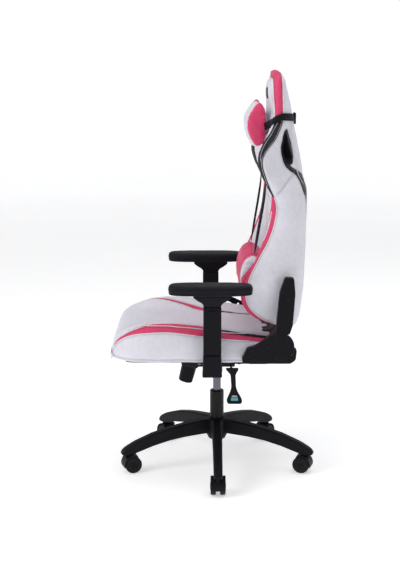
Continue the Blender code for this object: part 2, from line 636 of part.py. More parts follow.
def make_arm_shoe(side, parent):
    """The plastic foot round the post's elbow, flared downward, open for the post and the angle."""
    sign = SIDES[side]
    shoe = sleeve_box(side, 0.4040, SLEEVE_LOW - GAP, 0.0, 0.0)
    for vertex in shoe.data.vertices:
        if vertex.co.z < 0.42:
            vertex.co.x += math.copysign(0.002, vertex.co.x - sign * ARM_X)
            vertex.co.y += math.copysign(0.0035, vertex.co.y - ARM_Y)
    soften(shoe, 0.005, 2)
    well = block((sign * (ARM_X - 0.0105), ARM_Y - 0.0225, PLATE_LOW - GAP),
                 (sign * (ARM_X + 0.0105), ARM_Y + 0.0225, 0.60))
    notch = block((sign * 0.20, ARM_Y - 0.0255, PLATE_LOW - GAP), (sign * (ARM_X + 0.0105), ARM_Y + 0.0255, PLATE_HIGH + GAP))
    return finish(cut(shoe, well, notch), f"arm_shoe_{side}", "black_plastic", parent)


def make_arm_sleeve(side, parent):
    sign = SIDES[side]
    sleeve = soften(sleeve_box(side, SLEEVE_LOW, SLEEVE_HIGH, 0, 0), 0.004, 2)
    well = block((sign * (ARM_X - 0.0105), ARM_Y - 0.0225, 0.40), (sign * (ARM_X + 0.0105), ARM_Y + 0.0225, 0.6330))
    pocket = block((sign * 0.3105, ARM_Y - 0.0125, 0.6115), (sign * 0.3300, ARM_Y + 0.0125, 0.6285))
    return finish(cut(sleeve, well, pocket), f"arm_sleeve_{side}", "black_plastic", parent)


def make_arm_button(side, parent):
    sign = SIDES[side]
    button = soften(block((sign * 0.3142, ARM_Y - 0.0120, 0.6120), (sign * 0.3195, ARM_Y + 0.0120, 0.6280)), 0.001)
    return finish(button, f"arm_button_{side}", "black_plastic", parent)


def make_arm_carriage(side, parent):
    """The turntable head on the sleeve, waisted below and spread under the pad."""
    sign = SIDES[side]
    half = [(0.0620, PAD_LOW - GAP), (0.0620, 0.6745), (0.0470, 0.6620), (0.0320, 0.6530), (0.0270, SLEEVE_HIGH + GAP)]
    outline = [(ARM_Y + w, z) for w, z in half] + [(ARM_Y - w, z) for w, z in reversed(half)]
    head = plate(rounded(outline, 0.006, 2), sign * (ARM_X - 0.032), sign * (ARM_X + 0.032))
    for vertex in head.data.vertices:
        share = min(1, max(0, (vertex.co.z - 0.642) / 0.030))
        vertex.co.x = sign * ARM_X + (vertex.co.x - sign * ARM_X) * (0.58 + 0.42 * share)
    return finish(head, f"arm_carriage_{side}", "black_plastic", parent)


def make_arm_pad(side, parent):
    sign = SIDES[side]
    middle, half = PAD_Y[side], PAD_LENGTH / 2
    corners = [(sign * (PAD_X + dx), middle + dy) for dx, dy in
               ((-PAD_HALF_X, -half), (PAD_HALF_X, -half), (PAD_HALF_X, half), (-PAD_HALF_X, half))]
    pad = soften(plate(rounded(corners, 0.040, 5), PAD_LOW, PAD_HIGH, "XY"), 0.006, 2)
    return finish(pad, f"arm_pad_{side}", "black_foam", parent)


def make_armrest(side, parent):
    sign = SIDES[side]
    height = empty(f"arm_height_{side}_axis", (sign * ARM_X, ARM_Y, SLEEVE_LOW), parent)
    press = empty(f"arm_button_{side}_axis", (sign * 0.3190, ARM_Y, 0.620), height)
    yaw = empty(f"arm_yaw_{side}_axis", (sign * ARM_X, ARM_Y, SLEEVE_HIGH), height)
    slide = empty(f"arm_depth_{side}_axis", (sign * PAD_X, PAD_Y[side], PAD_LOW), yaw)
    make_arm_bracket(side, parent)
    make_arm_shoe(side, parent)
    make_arm_sleeve(side, height)
    make_arm_button(side, press)
    make_arm_carriage(side, yaw)
    make_arm_pad(side, slide)


# ---- backrest ----
HALF_WIDTH = [(0.532, 0.165), (0.550, 0.200), (0.590, 0.228), (0.650, 0.240), (0.730, 0.2445), (0.806, 0.246),
              (0.877, 0.249), (0.950, 0.257), (1.000, 0.265), (1.050, 0.270), (1.090, 0.267), (1.130, 0.252),
              (1.170, 0.222), (1.210, 0.184), (1.245, 0.158), (1.290, 0.149), (1.340, 0.145), (1.368, 0.130),
              (1.381, 0.100)]
REAR = [(0.532, 0.2500), (0.560, 0.2720), (0.611, 0.2815), (0.715, 0.2890), (0.871, 0.2915), (0.997, 0.2880),
        (1.046, 0.2770), (1.110, 0.2690), (1.193, 0.2540), (1.250, 0.2440), (1.311, 0.2300), (1.355, 0.2190),
        (1.381, 0.2080)]
EDGE_FRONT = [(0.532, 0.2150), (0.552, 0.1900), (0.582, 0.1240), (0.624, 0.0850), (0.660, 0.0760), (0.731, 0.1010),
              (0.806, 0.1350), (0.877, 0.1600), (0.940, 0.1700), (0.985, 0.1720), (1.025, 0.1570), (1.065, 0.1400),
              (1.110, 0.1310), (1.150, 0.1420), (1.190, 0.1620), (1.230, 0.1800), (1.381, 0.1830)]
CENTRE_FRONT = [(0.532, 0.2100), (0.560, 0.1980), (0.640, 0.1860), (0.760, 0.1820), (0.950, 0.1800),
                (1.050, 0.1720), (1.110, 0.1660), (1.170, 0.1680), (1.250, 0.1720), (1.330, 0.1690), (1.381, 0.1860)]
WING_SWEEP = [(0.900, 0.0), (1.000, 0.25), (1.060, 1.0), (1.190, 1.0), (1.260, 0.15), (1.300, 0.0)]


def back_ring(z):
    """A level section of the backrest, from the middle of its rear round to the middle of its front."""
    half, rear = smooth_table(HALF_WIDTH, z), smooth_table(REAR, z)
    edge, front = smooth_table(EDGE_FRONT, z), smooth_table(CENTRE_FRONT, z)
    sweep = smooth_table(WING_SWEEP, z)
    depth = rear - edge
    plain = [(0, rear), (0.40 * half, rear), (0.72 * half, rear - 0.04 * depth), (0.91 * half, rear - 0.20 * depth),
             (half, rear - 0.50 * depth), (0.995 * half, edge + 0.16 * depth), (0.94 * half, edge),
             (0.84 * half, edge + 0.12 * (front - edge)), (0.66 * half, front), (0.30 * half, front), (0, front)]
    winged = [(0, rear), (0.34 * half, rear - 0.02 * depth), (0.58 * half, rear - 0.16 * depth),
              (0.78 * half, rear - 0.44 * depth), (0.93 * half, rear - 0.74 * depth), (half, edge + 0.10 * depth),
              (0.97 * half, edge), (0.88 * half, edge + 0.05 * depth), (0.68 * half, front), (0.30 * half, front),
              (0, front)]
    points = [(a[0] + (b[0] - a[0]) * sweep, a[1] + (b[1] - a[1]) * sweep) for a, b in zip(plain, winged)]
    return [(x, y, z) for x, y in mirrored_ring(points)]


def slot_outline(inset=0.0):
    """A harness opening's outline about its middle: a tall leaf, pointed at the top and full below."""
    half = [(0.0, 0.056 - 1.6 * inset), (0.011 - inset, 0.026), (0.019 - inset, -0.004), (0.021 - inset, -0.026),
            (0.014 - inset, -0.044 + inset), (0.0, -0.050 + inset)]
    return half + [(-x, z) for x, z in reversed(half[1:-1])]


def slot_plate(side, outline, low, high, hole=None):
    """An outline drawn across a harness opening, thickened along the opening's leaning axis."""
    sign = SIDES[side]
    shape = plate(outline, low, high, "XZ", hole)
    turn = Matrix.Rotation(-sign * SLOT_LEAN, 4, "Z")
    middle = Vector((sign * SLOT_MIDDLE[0], SLOT_MIDDLE[1], SLOT_MIDDLE[2]))
    shape.data.transform(Matrix.Translation(middle) @ turn)
    return shape


def make_backrest(parent):
    heights = [0.532, 0.545, 0.57, 0.61, 0.66, 0.73, 0.81, 0.89, 0.96, 1.01, 1.06, 1.10, 1.14, 1.175, 1.20, 1.22, 1.24, 1.26,
               1.31, 1.35, 1.37, 1.381]
    back = loft([back_ring(z) for z in heights])
    slots = [slot_plate(side, slot_outline(), -0.12, 0.12) for side in SIDES]
    return finish(cut(back, *slots), "backrest", "white_leather", parent)


def make_slot_bezel(side, parent):
    outer, inner = slot_outline(GAP * 1.5), slot_outline(0.0035)
    ring = slot_plate(side, outer, -0.030, 0.045, inner)
    return finish(ring, f"slot_bezel_{side}", "black_plastic", parent)


def make_head_pillow(parent):
    """A crescent section along X, drawn in towards both ends."""
    section = [(0.1400, 1.2900), (0.1140, 1.2620), (0.0985, 1.2300), (0.0960, 1.2080), (0.1040, 1.1740),
               (0.1280, 1.1400), (0.1480, 1.1460), (0.1560, 1.1800), (0.1600, 1.2150), (0.1560, 1.2520)]
    middle = Vector((0.1290, 1.2150))
    rings = []
    for x in (-0.135, -0.131, -0.115, -0.06, 0.0, 0.06, 0.115, 0.131, 0.135):
        size = 1 - 0.20 * (abs(x) / 0.135) ** 6
        rings.append([(x, *(middle + (Vector(p) - middle) * size)) for p in section])
    return finish(loft(rings), "head_pillow", "pink_leather", parent)


def make_lumbar_pillow(parent):
    section = [(0.1180, 0.7900), (0.0880, 0.7720), (0.0720, 0.7350), (0.0690, 0.7000), (0.0760, 0.6580),
               (0.1000, 0.6230), (0.1300, 0.6180), (0.1560, 0.6400), (0.1660, 0.7000), (0.1560, 0.7600)]
    middle = Vector((0.1180, 0.7030))
    rings = []
    for x in (-0.150, -0.145, -0.125, -0.07, 0.0, 0.07, 0.125, 0.145, 0.150):
        size = 1 - 0.25 * (abs(x) / 0.150) ** 6
        rings.append([(x, *(middle + (Vector(p) - middle) * size)) for p in section])
    return finish(loft(rings), "lumbar_pillow", "pink_leather", parent)


def ribbon(path, width, thickness):
    """A flat strap along points of (place, direction across the width, outward direction)."""
    rings = []
    for place, across, outward in path:
        place, across, outward = Vector(place), Vector(across).normalized(), Vector(outward).normalized()
        rings.append([place + across * width / 2 * a + outward * thickness / 2 * b
                      for a, b in ((-1, -1), (1, -1), (1, 1), (-1, 1))])
    return loft(rings)


def back_surface(index, z, lift):
    """A place just off the backrest's side, at one point of its section, with the way up and outward there."""
    def point(i, height):
        return Vector(back_ring(height)[i])
    up = (point(index, z + 0.01) - point(index, z - 0.01)).normalized()
    along = point(index - 1, z) - point(index + 1, z) if index else Vector((1, 0, 0))
    outward = along.cross(up).normalized()
    outward *= math.copysign(1, outward.y if index < 3 else outward.x)
    return point(index, z) + outward * lift, up, outward


def make_head_strap(parent):
    """One elastic band from the pillow's left end round the back of the head to its right end."""
    half = [(Vector((0.1372, 0.1400, 1.2050)), Vector((0, 0.1, 1)), Vector((1, 0, 0)))]
    half += [back_surface(index, z, 0.0036) for index, z in
             ((6, 1.222), (5, 1.232), (4, 1.239), (3, 1.238), (2, 1.235), (1, 1.230), (0, 1.226))]
    path = half + [tuple(Vector((-v.x, v.y, v.z)) for v in row) for row in reversed(half[:-1])]
    return finish(ribbon(path, 0.022, 0.0018), "head_strap", "black_webbing", parent)


def make_strap_buckle(parent):
    low = smooth_table(REAR, 1.226) + 0.0078
    buckle = soften(block((-0.019, low, 1.2070), (0.019, low + 0.0080, 1.2450)), 0.002)
    return finish(buckle, "strap_buckle", "black_plastic", parent)


def make_lumbar_strap(side, parent):
    """A strap from the pillow's top up over the back's face and into the harness opening."""
    sign = SIDES[side]
    lean = (math.cos(SLOT_LEAN), -sign * math.sin(SLOT_LEAN), 0)
    flat = (1, 0, 0)
    path = [((0.1300, 0.1230, 0.7850), flat, (0, -1, 0.1)), ((0.1320, 0.1330, 0.8500), flat, (0, -1, 0.2)),
            ((0.1370, 0.1490, 0.9500), flat, (0, -1, 0.2)), ((0.1430, 0.1560, 1.0300), flat, (0, -1, 0.1)),
            ((0.1490, 0.1535, 1.0860), lean, (0, -1, 0)), ((0.1515, 0.1560, 1.0975), lean, (0, -0.7, 0.7)),
            ((0.1590, 0.1740, 1.1000), lean, (0, 0, 1))]
    placed = [((sign * x, y, z), across, outward) for (x, y, z), across, outward in path]
    return finish(ribbon(placed, 0.018, 0.0018), f"lumbar_strap_{side}", "black_webbing", parent)


# ---- the whole chair ----
def make_mechanism(lift):
    tilt = empty("tilt_axis", (0, TILT_Y, TILT_Z), lift)
    make_mechanism_housing(lift)
    make_tilt_pin(lift)
    make_tilt_spring(lift)
    make_tension_knob(empty("tension_axis", (0, KNOB_Y, KNOB_Z), lift))
    make_height_lever(empty("height_lever_axis", (-0.029, LIFT_LEVER_Y, LIFT_LEVER_Z), lift))
    make_tilt_lock_lever(empty("tilt_lock_axis", (0.185, LEVER_Y, LEVER_Z), lift))
    make_seat_plate(tilt)
    return tilt


def make_hinges(seat):
    recline = empty("recline_axis", (0, RECLINE_Y, RECLINE_Z), seat)
    for side in SIDES:
        make_seat_bracket(side, seat)
        make_lower_cover(side, seat)
        make_hinge_bolt(side, seat)
        make_back_bracket(side, recline)
        make_upper_cover(side, recline)
    make_recline_lever(empty("recline_lever_axis", (-0.290, RECLINE_Y, RECLINE_Z), seat))
    return recline


def make_back(recline):
    make_backrest(recline)
    make_head_pillow(recline)
    make_head_strap(recline)
    make_strap_buckle(recline)
    make_lumbar_pillow(recline)
    for side in SIDES:
        make_slot_bezel(side, recline)
        make_lumbar_strap(side, recline)


def main():
    root = empty("chair_origin", (0, 0, 0))
    make_star_base(root)
    make_column_tube(root)
    make_casters(root)
    swivel = empty("swivel_axis", (0, 0, 0.0935), root)
    make_piston_rod(swivel)
    lift = empty("lift_axis", (0, 0, 0.158), swivel)
    make_gas_cylinder(lift)
    seat = make_mechanism(lift)
    make_seat_pan(seat)
    make_seat_cushion(seat)
    for side in SIDES:
        make_armrest(side, seat)
    make_back(make_hinges(seat))
    root.location = (0, COLUMN_Y, 0)


clear_scene()
EMPTY_AT = {}
PARTS = collection("gaming_chair")
CUTTERS = collection("cutters", hidden=True)
main()
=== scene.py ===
"""The looks of a racing-style gaming chair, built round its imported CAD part.

Soft pieces are shaped here from the gas lift's axis outward (metres, +Z up, front towards -Y, left side +X)
and then moved by COLUMN_Y into the part's own frame. CAD nodes keep their shape and get a finish.
"""

import json
import math

import bmesh
import bpy
import numpy as np
from mathutils import Matrix, Vector, noise
from mathutils.bvhtree import BVHTree


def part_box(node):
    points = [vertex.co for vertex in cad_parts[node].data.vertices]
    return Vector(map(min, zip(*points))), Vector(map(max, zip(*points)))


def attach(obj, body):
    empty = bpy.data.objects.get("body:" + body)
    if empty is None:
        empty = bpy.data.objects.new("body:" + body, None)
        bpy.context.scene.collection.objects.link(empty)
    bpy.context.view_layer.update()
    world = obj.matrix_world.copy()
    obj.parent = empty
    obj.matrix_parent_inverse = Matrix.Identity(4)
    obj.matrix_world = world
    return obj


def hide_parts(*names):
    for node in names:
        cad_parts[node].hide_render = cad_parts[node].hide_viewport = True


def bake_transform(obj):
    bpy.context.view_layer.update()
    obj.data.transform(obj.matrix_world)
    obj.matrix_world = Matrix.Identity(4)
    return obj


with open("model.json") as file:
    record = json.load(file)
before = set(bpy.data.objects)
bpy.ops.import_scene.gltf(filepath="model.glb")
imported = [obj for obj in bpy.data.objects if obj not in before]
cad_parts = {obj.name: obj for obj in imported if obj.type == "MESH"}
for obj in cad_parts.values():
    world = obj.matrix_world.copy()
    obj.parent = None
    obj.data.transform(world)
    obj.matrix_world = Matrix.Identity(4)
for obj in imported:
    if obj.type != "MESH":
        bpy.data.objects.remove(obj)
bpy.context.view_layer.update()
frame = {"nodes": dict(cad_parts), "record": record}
NODES = frame["nodes"]
CYLINDER_LOW, CYLINDER_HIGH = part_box("gas_cylinder")
COLUMN_Y = (CYLINDER_LOW.y + CYLINDER_HIGH.y) / 2
SIDES = {"left": 1, "right": -1}

WHITE = (0.76, 0.75, 0.82)
PINK = (0.74, 0.05, 0.155)
BLACK = (0.007, 0.007, 0.011)
PIPING = (0.86, 0.83, 0.88)


# ---- materials ----
class Finish:
    """One material, with short names for the nodes that its builders use."""

    def __init__(self, name, roughness=0.5, metallic=0.0, specular=0.5):
        self.material = bpy.data.materials.new(name)
        self.material.use_nodes = True
        self.tree = self.material.node_tree
        self.shader = self.tree.nodes["Principled BSDF"]
        self.shader.inputs["Roughness"].default_value = roughness
        self.shader.inputs["Metallic"].default_value = metallic
        self.shader.inputs["Specular IOR Level"].default_value = specular
        self.place = self.add("ShaderNodeTexCoord", {}).outputs["Object"]

    def add(self, kind, inputs, **settings):
        node = self.tree.nodes.new(kind)
        for key, value in settings.items():
            setattr(node, key, value)
        for key, value in inputs.items():
            self.feed(node.inputs[key], value)
        return node

    def feed(self, socket, value):
        if isinstance(value, bpy.types.NodeSocket):
            self.tree.links.new(value, socket)
        elif socket.type == "RGBA" and len(value) == 3:
            socket.default_value = (*value, 1)
        else:
            socket.default_value = value

    def stretch(self, scale, vector=None):
        return self.add("ShaderNodeMapping", {"Vector": vector or self.place, "Scale": scale}).outputs[0]

    def noise(self, scale, detail=3.0, vector=None):
        inputs = {"Vector": vector or self.place, "Scale": scale, "Detail": detail}
        return self.add("ShaderNodeTexNoise", inputs).outputs["Fac"]

    def cells(self, scale, vector=None):
        inputs = {"Vector": vector or self.place, "Scale": scale, "Smoothness": 0.6}
        return self.add("ShaderNodeTexVoronoi", inputs, feature="SMOOTH_F1").outputs["Distance"]

    def between(self, value, start, end, low=0.0, high=1.0):
        inputs = {"Value": value, "From Min": start, "From Max": end, "To Min": low, "To Max": high}
        return self.add("ShaderNodeMapRange", inputs).outputs["Result"]

    def sum(self, *terms, operation="ADD"):
        total = terms[0]
        for term in terms[1:]:
            total = self.add("ShaderNodeMath", {0: total, 1: term}, operation=operation).outputs[0]
        return total

    def mix(self, share, first, second):
        node = self.add("ShaderNodeMix", {0: share}, data_type="RGBA")
        self.feed(node.inputs[6], first)
        self.feed(node.inputs[7], second)
        return node.outputs[2]

    def stored(self, name):
        return self.add("ShaderNodeAttribute", {}, attribute_name=name).outputs["Fac"]

    def edges(self, radius):
        """1 on sharp outer edges, 0 on flat stretches."""
        bent = self.add("ShaderNodeBevel", {"Radius": radius}, samples=6).outputs["Normal"]
        straight = self.add("ShaderNodeNewGeometry", {}).outputs["Normal"]
        match = self.add("ShaderNodeVectorMath", {0: bent, 1: straight}, operation="DOT_PRODUCT")
        return self.between(match.outputs["Value"], 0.985, 0.90)

    def done(self, colour=None, roughness=None, height=None, depth=0.0002):
        if colour is not None:
            self.feed(self.shader.inputs["Base Color"], colour)
        if roughness is not None:
            self.feed(self.shader.inputs["Roughness"], roughness)
        if height is not None:
            bump = self.add("ShaderNodeBump", {"Height": height, "Distance": depth, "Strength": 0.8})
            self.feed(self.shader.inputs["Normal"], bump.outputs["Normal"])
        return self.material


def shade(colour, factor):
    return tuple(min(1.0, channel * factor) for channel in colour)


def leather(name, base, panels=(), seams=True, specular=0.4):
    """Grained artificial leather, with painted shade darkening it along its seams when seams is set. Each panel is
    (attribute, colour): metres outside the panel's edge.
    """
    make = Finish(name, specular=specular)
    broad, cloud = make.noise(9.0, 4.0), make.noise(70.0, 3.0)
    tone = make.between(make.sum(broad, cloud), 0.75, 1.3)
    colour = make.mix(tone, shade(base, 0.93), shade(base, 1.03))
    for attribute, panel in panels:
        inside = make.between(make.stored(attribute), 0.0004, -0.0004)
        colour = make.mix(inside, colour, make.mix(tone, shade(panel, 0.88), shade(panel, 1.06)))
    # Painted shade: the colour is darkened to 0.8 at the seams, fading out 5 mm away, for the shade in the sunk
    # seams.
    if seams:
        painted_seam_shade = make.between(make.stored("seam"), 0.0010, 0.0050, 0.80, 1.0)
        colour = make.add("ShaderNodeVectorMath", {0: colour, "Scale": painted_seam_shade}, operation="SCALE").outputs[0]
    warped = make.noise(190.0, 1.0)
    grain = make.sum(make.cells(820.0), make.sum(warped, 0.5, operation="MULTIPLY"))
    creases = make.between(make.noise(1.0, 5.0, make.stretch((38, 38, 95))), 0.46, 0.54)
    height = make.sum(grain, make.sum(creases, 1.2, operation="MULTIPLY"))
    roughness = make.between(make.sum(cloud, grain), 0.5, 1.6, 0.36, 0.52)
    return make.done(colour, roughness, height, 0.00022)


def moulded(name, base, roughness, grit=900.0, wear=0.03):
    """Moulded plastic with a fine spark texture, paler where its edges are rubbed."""
    make = Finish(name, specular=0.14)
    cloud, fine = make.noise(26.0, 4.0), make.noise(grit, 2.0)
    colour = make.mix(make.between(cloud, 0.3, 0.7), shade(base, 0.75), shade(base, 1.35))
    patches = make.between(make.noise(120.0, 3.0), 0.42, 0.62)
    rubbed = make.sum(make.edges(0.0018), patches, operation="MULTIPLY")
    colour = make.mix(rubbed, colour, tuple(channel + wear for channel in base))
    rough = make.between(make.sum(cloud, make.sum(rubbed, -0.35, operation="MULTIPLY")), 0.1, 0.9,
                         roughness - 0.08, roughness + 0.1)
    return make.done(colour, rough, fine, 0.00009)


def coated_steel(name):
    """Black powder coat: orange-peel bump, with bright nicks along the edges."""
    make = Finish(name, metallic=0.0, specular=0.2)
    peel, cloud = make.noise(420.0, 2.0), make.noise(18.0, 4.0)
    patches = make.between(make.noise(260.0, 3.0), 0.55, 0.66)
    nicks = make.sum(make.edges(0.0012), patches, operation="MULTIPLY")
    colour = make.mix(make.between(cloud, 0.3, 0.7), (0.004, 0.004, 0.005), (0.009, 0.009, 0.011))
    colour = make.mix(nicks, colour, (0.09, 0.09, 0.1))
    return make.done(colour, make.between(cloud, 0.3, 0.7, 0.3, 0.46), peel, 0.00012)


def brushed_steel(name, base):
    """Satin steel with turning marks round the vertical axis and a few dull patches."""
    make = Finish(name, metallic=1.0)
    marks = make.noise(1.0, 3.0, make.stretch((40, 40, 2600)))
    cloud = make.noise(22.0, 4.0)
    colour = make.mix(make.between(make.sum(marks, cloud), 0.7, 1.3), shade(base, 0.8), shade(base, 1.15))
    return make.done(colour, make.between(cloud, 0.3, 0.7, 0.24, 0.4), marks, 0.00004)


def webbing(name, base, rib=0.0016):
    """Woven elastic band: warp ribs along the strap, weft across, from its UV map in metres."""
    make = Finish(name, roughness=0.85, specular=0.15)
    make.shader.inputs["Sheen Weight"].default_value = 0.06
    uv = make.add("ShaderNodeUVMap", {}, uv_map="strap").outputs["UV"]
    ribs = 2 * math.pi / (20 * rib)
    inputs = {"Vector": uv, "Scale": ribs, "Distortion": 0.3, "Detail": 1.0, "Detail Scale": 1.0}
    warp = make.add("ShaderNodeTexWave", inputs, bands_direction="X").outputs["Fac"]
    inputs["Scale"] = ribs / 0.6
    weft = make.add("ShaderNodeTexWave", inputs, bands_direction="Y").outputs["Fac"]
    weave = make.sum(warp, weft, operation="MULTIPLY")
    fuzz = make.noise(900.0, 3.0)
    colour = make.mix(make.between(make.sum(weave, fuzz), 0.3, 1.4), shade(base, 0.5), shade(base, 1.6))
    return make.done(colour, make.between(fuzz, 0.3, 0.7, 0.75, 0.92), make.sum(weave, fuzz), 0.0004)


def foam_skin(name):
    """The soft skinned foam of an armrest: a fine hide-like grain and a slight bloom."""
    make = Finish(name, specular=0.14)
    make.shader.inputs["Sheen Weight"].default_value = 0.02
    cloud, hide = make.noise(16.0, 4.0), make.cells(520.0)
    colour = make.mix(make.between(cloud, 0.3, 0.7), (0.005, 0.005, 0.008), (0.01, 0.01, 0.015))
    return make.done(colour, make.between(cloud, 0.3, 0.7, 0.46, 0.62), hide, 0.00018)


def thread(name, base):
    """Twisted sewing thread."""
    make = Finish(name, roughness=0.6, specular=0.4)
    twist = make.noise(2600.0, 2.0)
    colour = make.mix(twist, shade(base, 0.8), shade(base, 1.1))
    return make.done(colour, make.between(twist, 0.3, 0.7, 0.5, 0.7), twist, 0.00015)


PANELS = (("pink", PINK), ("black", BLACK))
MATERIALS = {
    "panelled": leather("panelled_leather", WHITE, PANELS),
    "piping": leather("piping_leather", PIPING, seams=False),
    "shade_flap_leather": leather("shade_flap_leather", BLACK, seams=False, specular=0.25),
    "black_plastic": moulded("satin_black_plastic", (0.0035, 0.0035, 0.006), 0.42),
    "black_nylon": moulded("matt_black_nylon", (0.005, 0.005, 0.007), 0.50, grit=600.0, wear=0.025),
    "wheel": moulded("wheel_nylon", (0.008, 0.008, 0.010), 0.38, wear=0.04),
    "black_steel": coated_steel("black_powder_coat"),
    "bare_steel": brushed_steel("dark_satin_steel", (0.15, 0.15, 0.18)),
    "bright_steel": brushed_steel("bright_satin_steel", (0.52, 0.53, 0.56)),
    "black_webbing": webbing("black_elastic_webbing", (0.008, 0.008, 0.011)),
    "black_foam": foam_skin("skinned_foam"),
    "white_thread": thread("white_thread", (0.72, 0.70, 0.76)),
    "patch": moulded("patch_rubber", (0.016, 0.016, 0.020), 0.60, grit=500.0, wear=0.02),
    "mark": moulded("teal_mark", (0.10, 0.38, 0.40), 0.45, wear=0.05),
}


# ---- tables and curves ----
def smooth_table(table, at):
    """A value read from a table of (place, value) rows, eased between them by Catmull-Rom's rule."""
    if at <= table[0][0]:
        return table[0][1]
    if at >= table[-1][0]:
        return table[-1][1]
    i = max(k for k in range(len(table) - 1) if table[k][0] <= at)
    (x0, y0), (x1, y1) = table[i], table[i + 1]
    before = table[i - 1] if i else table[i]
    after = table[i + 2] if i + 2 < len(table) else table[i + 1]
    slope0 = (y1 - before[1]) / (x1 - before[0])
    slope1 = (after[1] - y0) / (after[0] - x0)
    t, span = (at - x0) / (x1 - x0), x1 - x0
    return ((2 * t ** 3 - 3 * t ** 2 + 1) * y0 + (t ** 3 - 2 * t ** 2 + t) * span * slope0
            + (-2 * t ** 3 + 3 * t ** 2) * y1 + (t ** 3 - t ** 2) * span * slope1)


def column(table, places):
    """smooth_table at many places at once, through a fine table."""
    fine = np.linspace(table[0][0], table[-1][0], 400)
    return np.interp(places, fine, [smooth_table(table, at) for at in fine])


def curve_through(points, steps, closed=False):
    """Centripetal Catmull-Rom curve through points, with steps samples for each stretch."""
    points = np.asarray(points, float)
    count = len(points)
    if closed:
        padded = np.concatenate([points[-1:], points, points[:2]])
    else:
        padded = np.concatenate([2 * points[:1] - points[1:2], points, 2 * points[-1:] - points[-2:-1]])
    result = []
    t = (np.arange(steps) / steps)[:, None]
    for i in range(count if closed else count - 1):
        p0, p1, p2, p3 = padded[i:i + 4]
        d0, d1, d2 = (max(1e-6, np.linalg.norm(b - a)) ** 0.5 for a, b in ((p0, p1), (p1, p2), (p2, p3)))
        m1 = d1 * ((p1 - p0) / d0 - (p2 - p0) / (d0 + d1) + (p2 - p1) / d1)
        m2 = d1 * ((p2 - p1) / d1 - (p3 - p1) / (d1 + d2) + (p3 - p2) / d2)
        result.append((2 * t ** 3 - 3 * t ** 2 + 1) * p1 + (t ** 3 - 2 * t ** 2 + t) * m1
                      + (-2 * t ** 3 + 3 * t ** 2) * p2 + (t ** 3 - t ** 2) * m2)
    if not closed:
        result.append(points[-1:])
    return np.concatenate(result)


def even(points, spacing):
    """The same path with points at even distances."""
    points = np.asarray(points, float)
    run = np.concatenate([[0], np.cumsum(np.linalg.norm(np.diff(points, axis=0), axis=1))])
    places = np.linspace(0, run[-1], max(2, int(round(run[-1] / spacing)) + 1))
    return np.stack([np.interp(places, run, points[:, k]) for k in range(points.shape[1])], axis=1)


def line_distance(points, line, closed=False):
    """Each 2-D point's distance to a path."""
    line = np.asarray(line, float)
    ends = np.roll(line, -1, axis=0) if closed else line[1:]
    starts = line if closed else line[:-1]
    best = np.full(len(points), 1e9)
    for a, b in zip(starts, ends):
        d = b - a
        t = np.clip((points - a) @ d / max(1e-12, d @ d), 0, 1)
        best = np.minimum(best, np.linalg.norm(points - a - t[:, None] * d, axis=1))
    return best


def outside(points, outline):
    """Each 2-D point's distance outside a closed outline, less than 0 within it."""
    outline = np.asarray(outline, float)
    inside = np.zeros(len(points), bool)
    for (x0, y0), (x1, y1) in zip(outline, np.roll(outline, -1, axis=0)):
        if y0 != y1:
            crossing = (points[:, 1] > y0) != (points[:, 1] > y1)
            inside ^= crossing & (points[:, 0] < (x1 - x0) * (points[:, 1] - y0) / (y1 - y0) + x0)
    distance = line_distance(points, outline, True)
    return np.where(inside, -distance, distance)


def band(first, second):
    """The outline between a band's two edges."""
    return np.concatenate([curve_through(first, 8), curve_through(second, 8)[::-1]])


# ---- meshes ----
def piece(name, points, faces, material, smooth=True):
    """A new object from points given from the gas lift's axis."""
    mesh = bpy.data.meshes.new(name)
    mesh.from_pydata([tuple(p) for p in np.asarray(points, float).tolist()], [], faces)
    mesh.transform(Matrix.Translation((0, COLUMN_Y, 0)))
    obj = bpy.data.objects.new(name, mesh)
    bpy.context.scene.collection.objects.link(obj)
    mesh.materials.append(MATERIALS[material])
    if smooth:
        mesh.shade_smooth()
    mesh.update()
    return obj


def ring_faces(rows, count):
    """Faces between equal rings of points, with one face over each end."""
    faces = []
    for r in range(rows - 1):
        for i in range(count):
            a, b = r * count + i, r * count + (i + 1) % count
            faces.append((a, b, b + count, a + count))
    return faces + [tuple(reversed(range(count))), tuple(range((rows - 1) * count, rows * count))]


def tidy_normals(obj):
    bm = bmesh.new()
    bm.from_mesh(obj.data)
    bmesh.ops.recalc_face_normals(bm, faces=bm.faces)
    bm.to_mesh(obj.data)
    bm.free()


def skin(name, rings, material, caps=0.0, cap_axis=2):
    """A closed body through equal rings. Each end is closed by shrinking its ring, domed out by caps."""
    rings = [np.asarray(ring, float) for ring in rings]
    for end, sign in ((0, -1), (-1, 1)):
        edge, middle = rings[end], rings[end].mean(axis=0)
        for share in (0.8, 0.55, 0.28, 0.02):
            ring = middle + (edge - middle) * share
            ring[:, cap_axis] += sign * caps * (1 - share ** 2)
            rings = [ring] + rings if end == 0 else rings + [ring]
    obj = piece(name, np.concatenate(rings), ring_faces(len(rings), len(rings[0])), material)
    tidy_normals(obj)
    return obj


def applied(obj):
    """The object with its modifiers baked into its mesh."""
    bpy.context.view_layer.update()
    mesh = bpy.data.meshes.new_from_object(obj.evaluated_get(bpy.context.evaluated_depsgraph_get()))
    obj.modifiers.clear()
    obj.data = mesh
    return obj


def recoat(obj, material):
    """Gives a reshaped object one material and smooth shading."""
    obj.data.materials.clear()
    obj.data.materials.append(MATERIALS[material])
    obj.data.shade_smooth()


def places(obj):
    """An object's points, from the gas lift's axis, and their normals."""
    count = len(obj.data.vertices)
    at, way = np.zeros(count * 3), np.zeros(count * 3)
    obj.data.vertices.foreach_get("co", at)
    obj.data.vertices.foreach_get("normal", way)
    return at.reshape(-1, 3) - (0, COLUMN_Y, 0), way.reshape(-1, 3)


def move_to(obj, points):
    obj.data.vertices.foreach_set("co", (np.asarray(points) + (0, COLUMN_Y, 0)).ravel())
    obj.data.update()


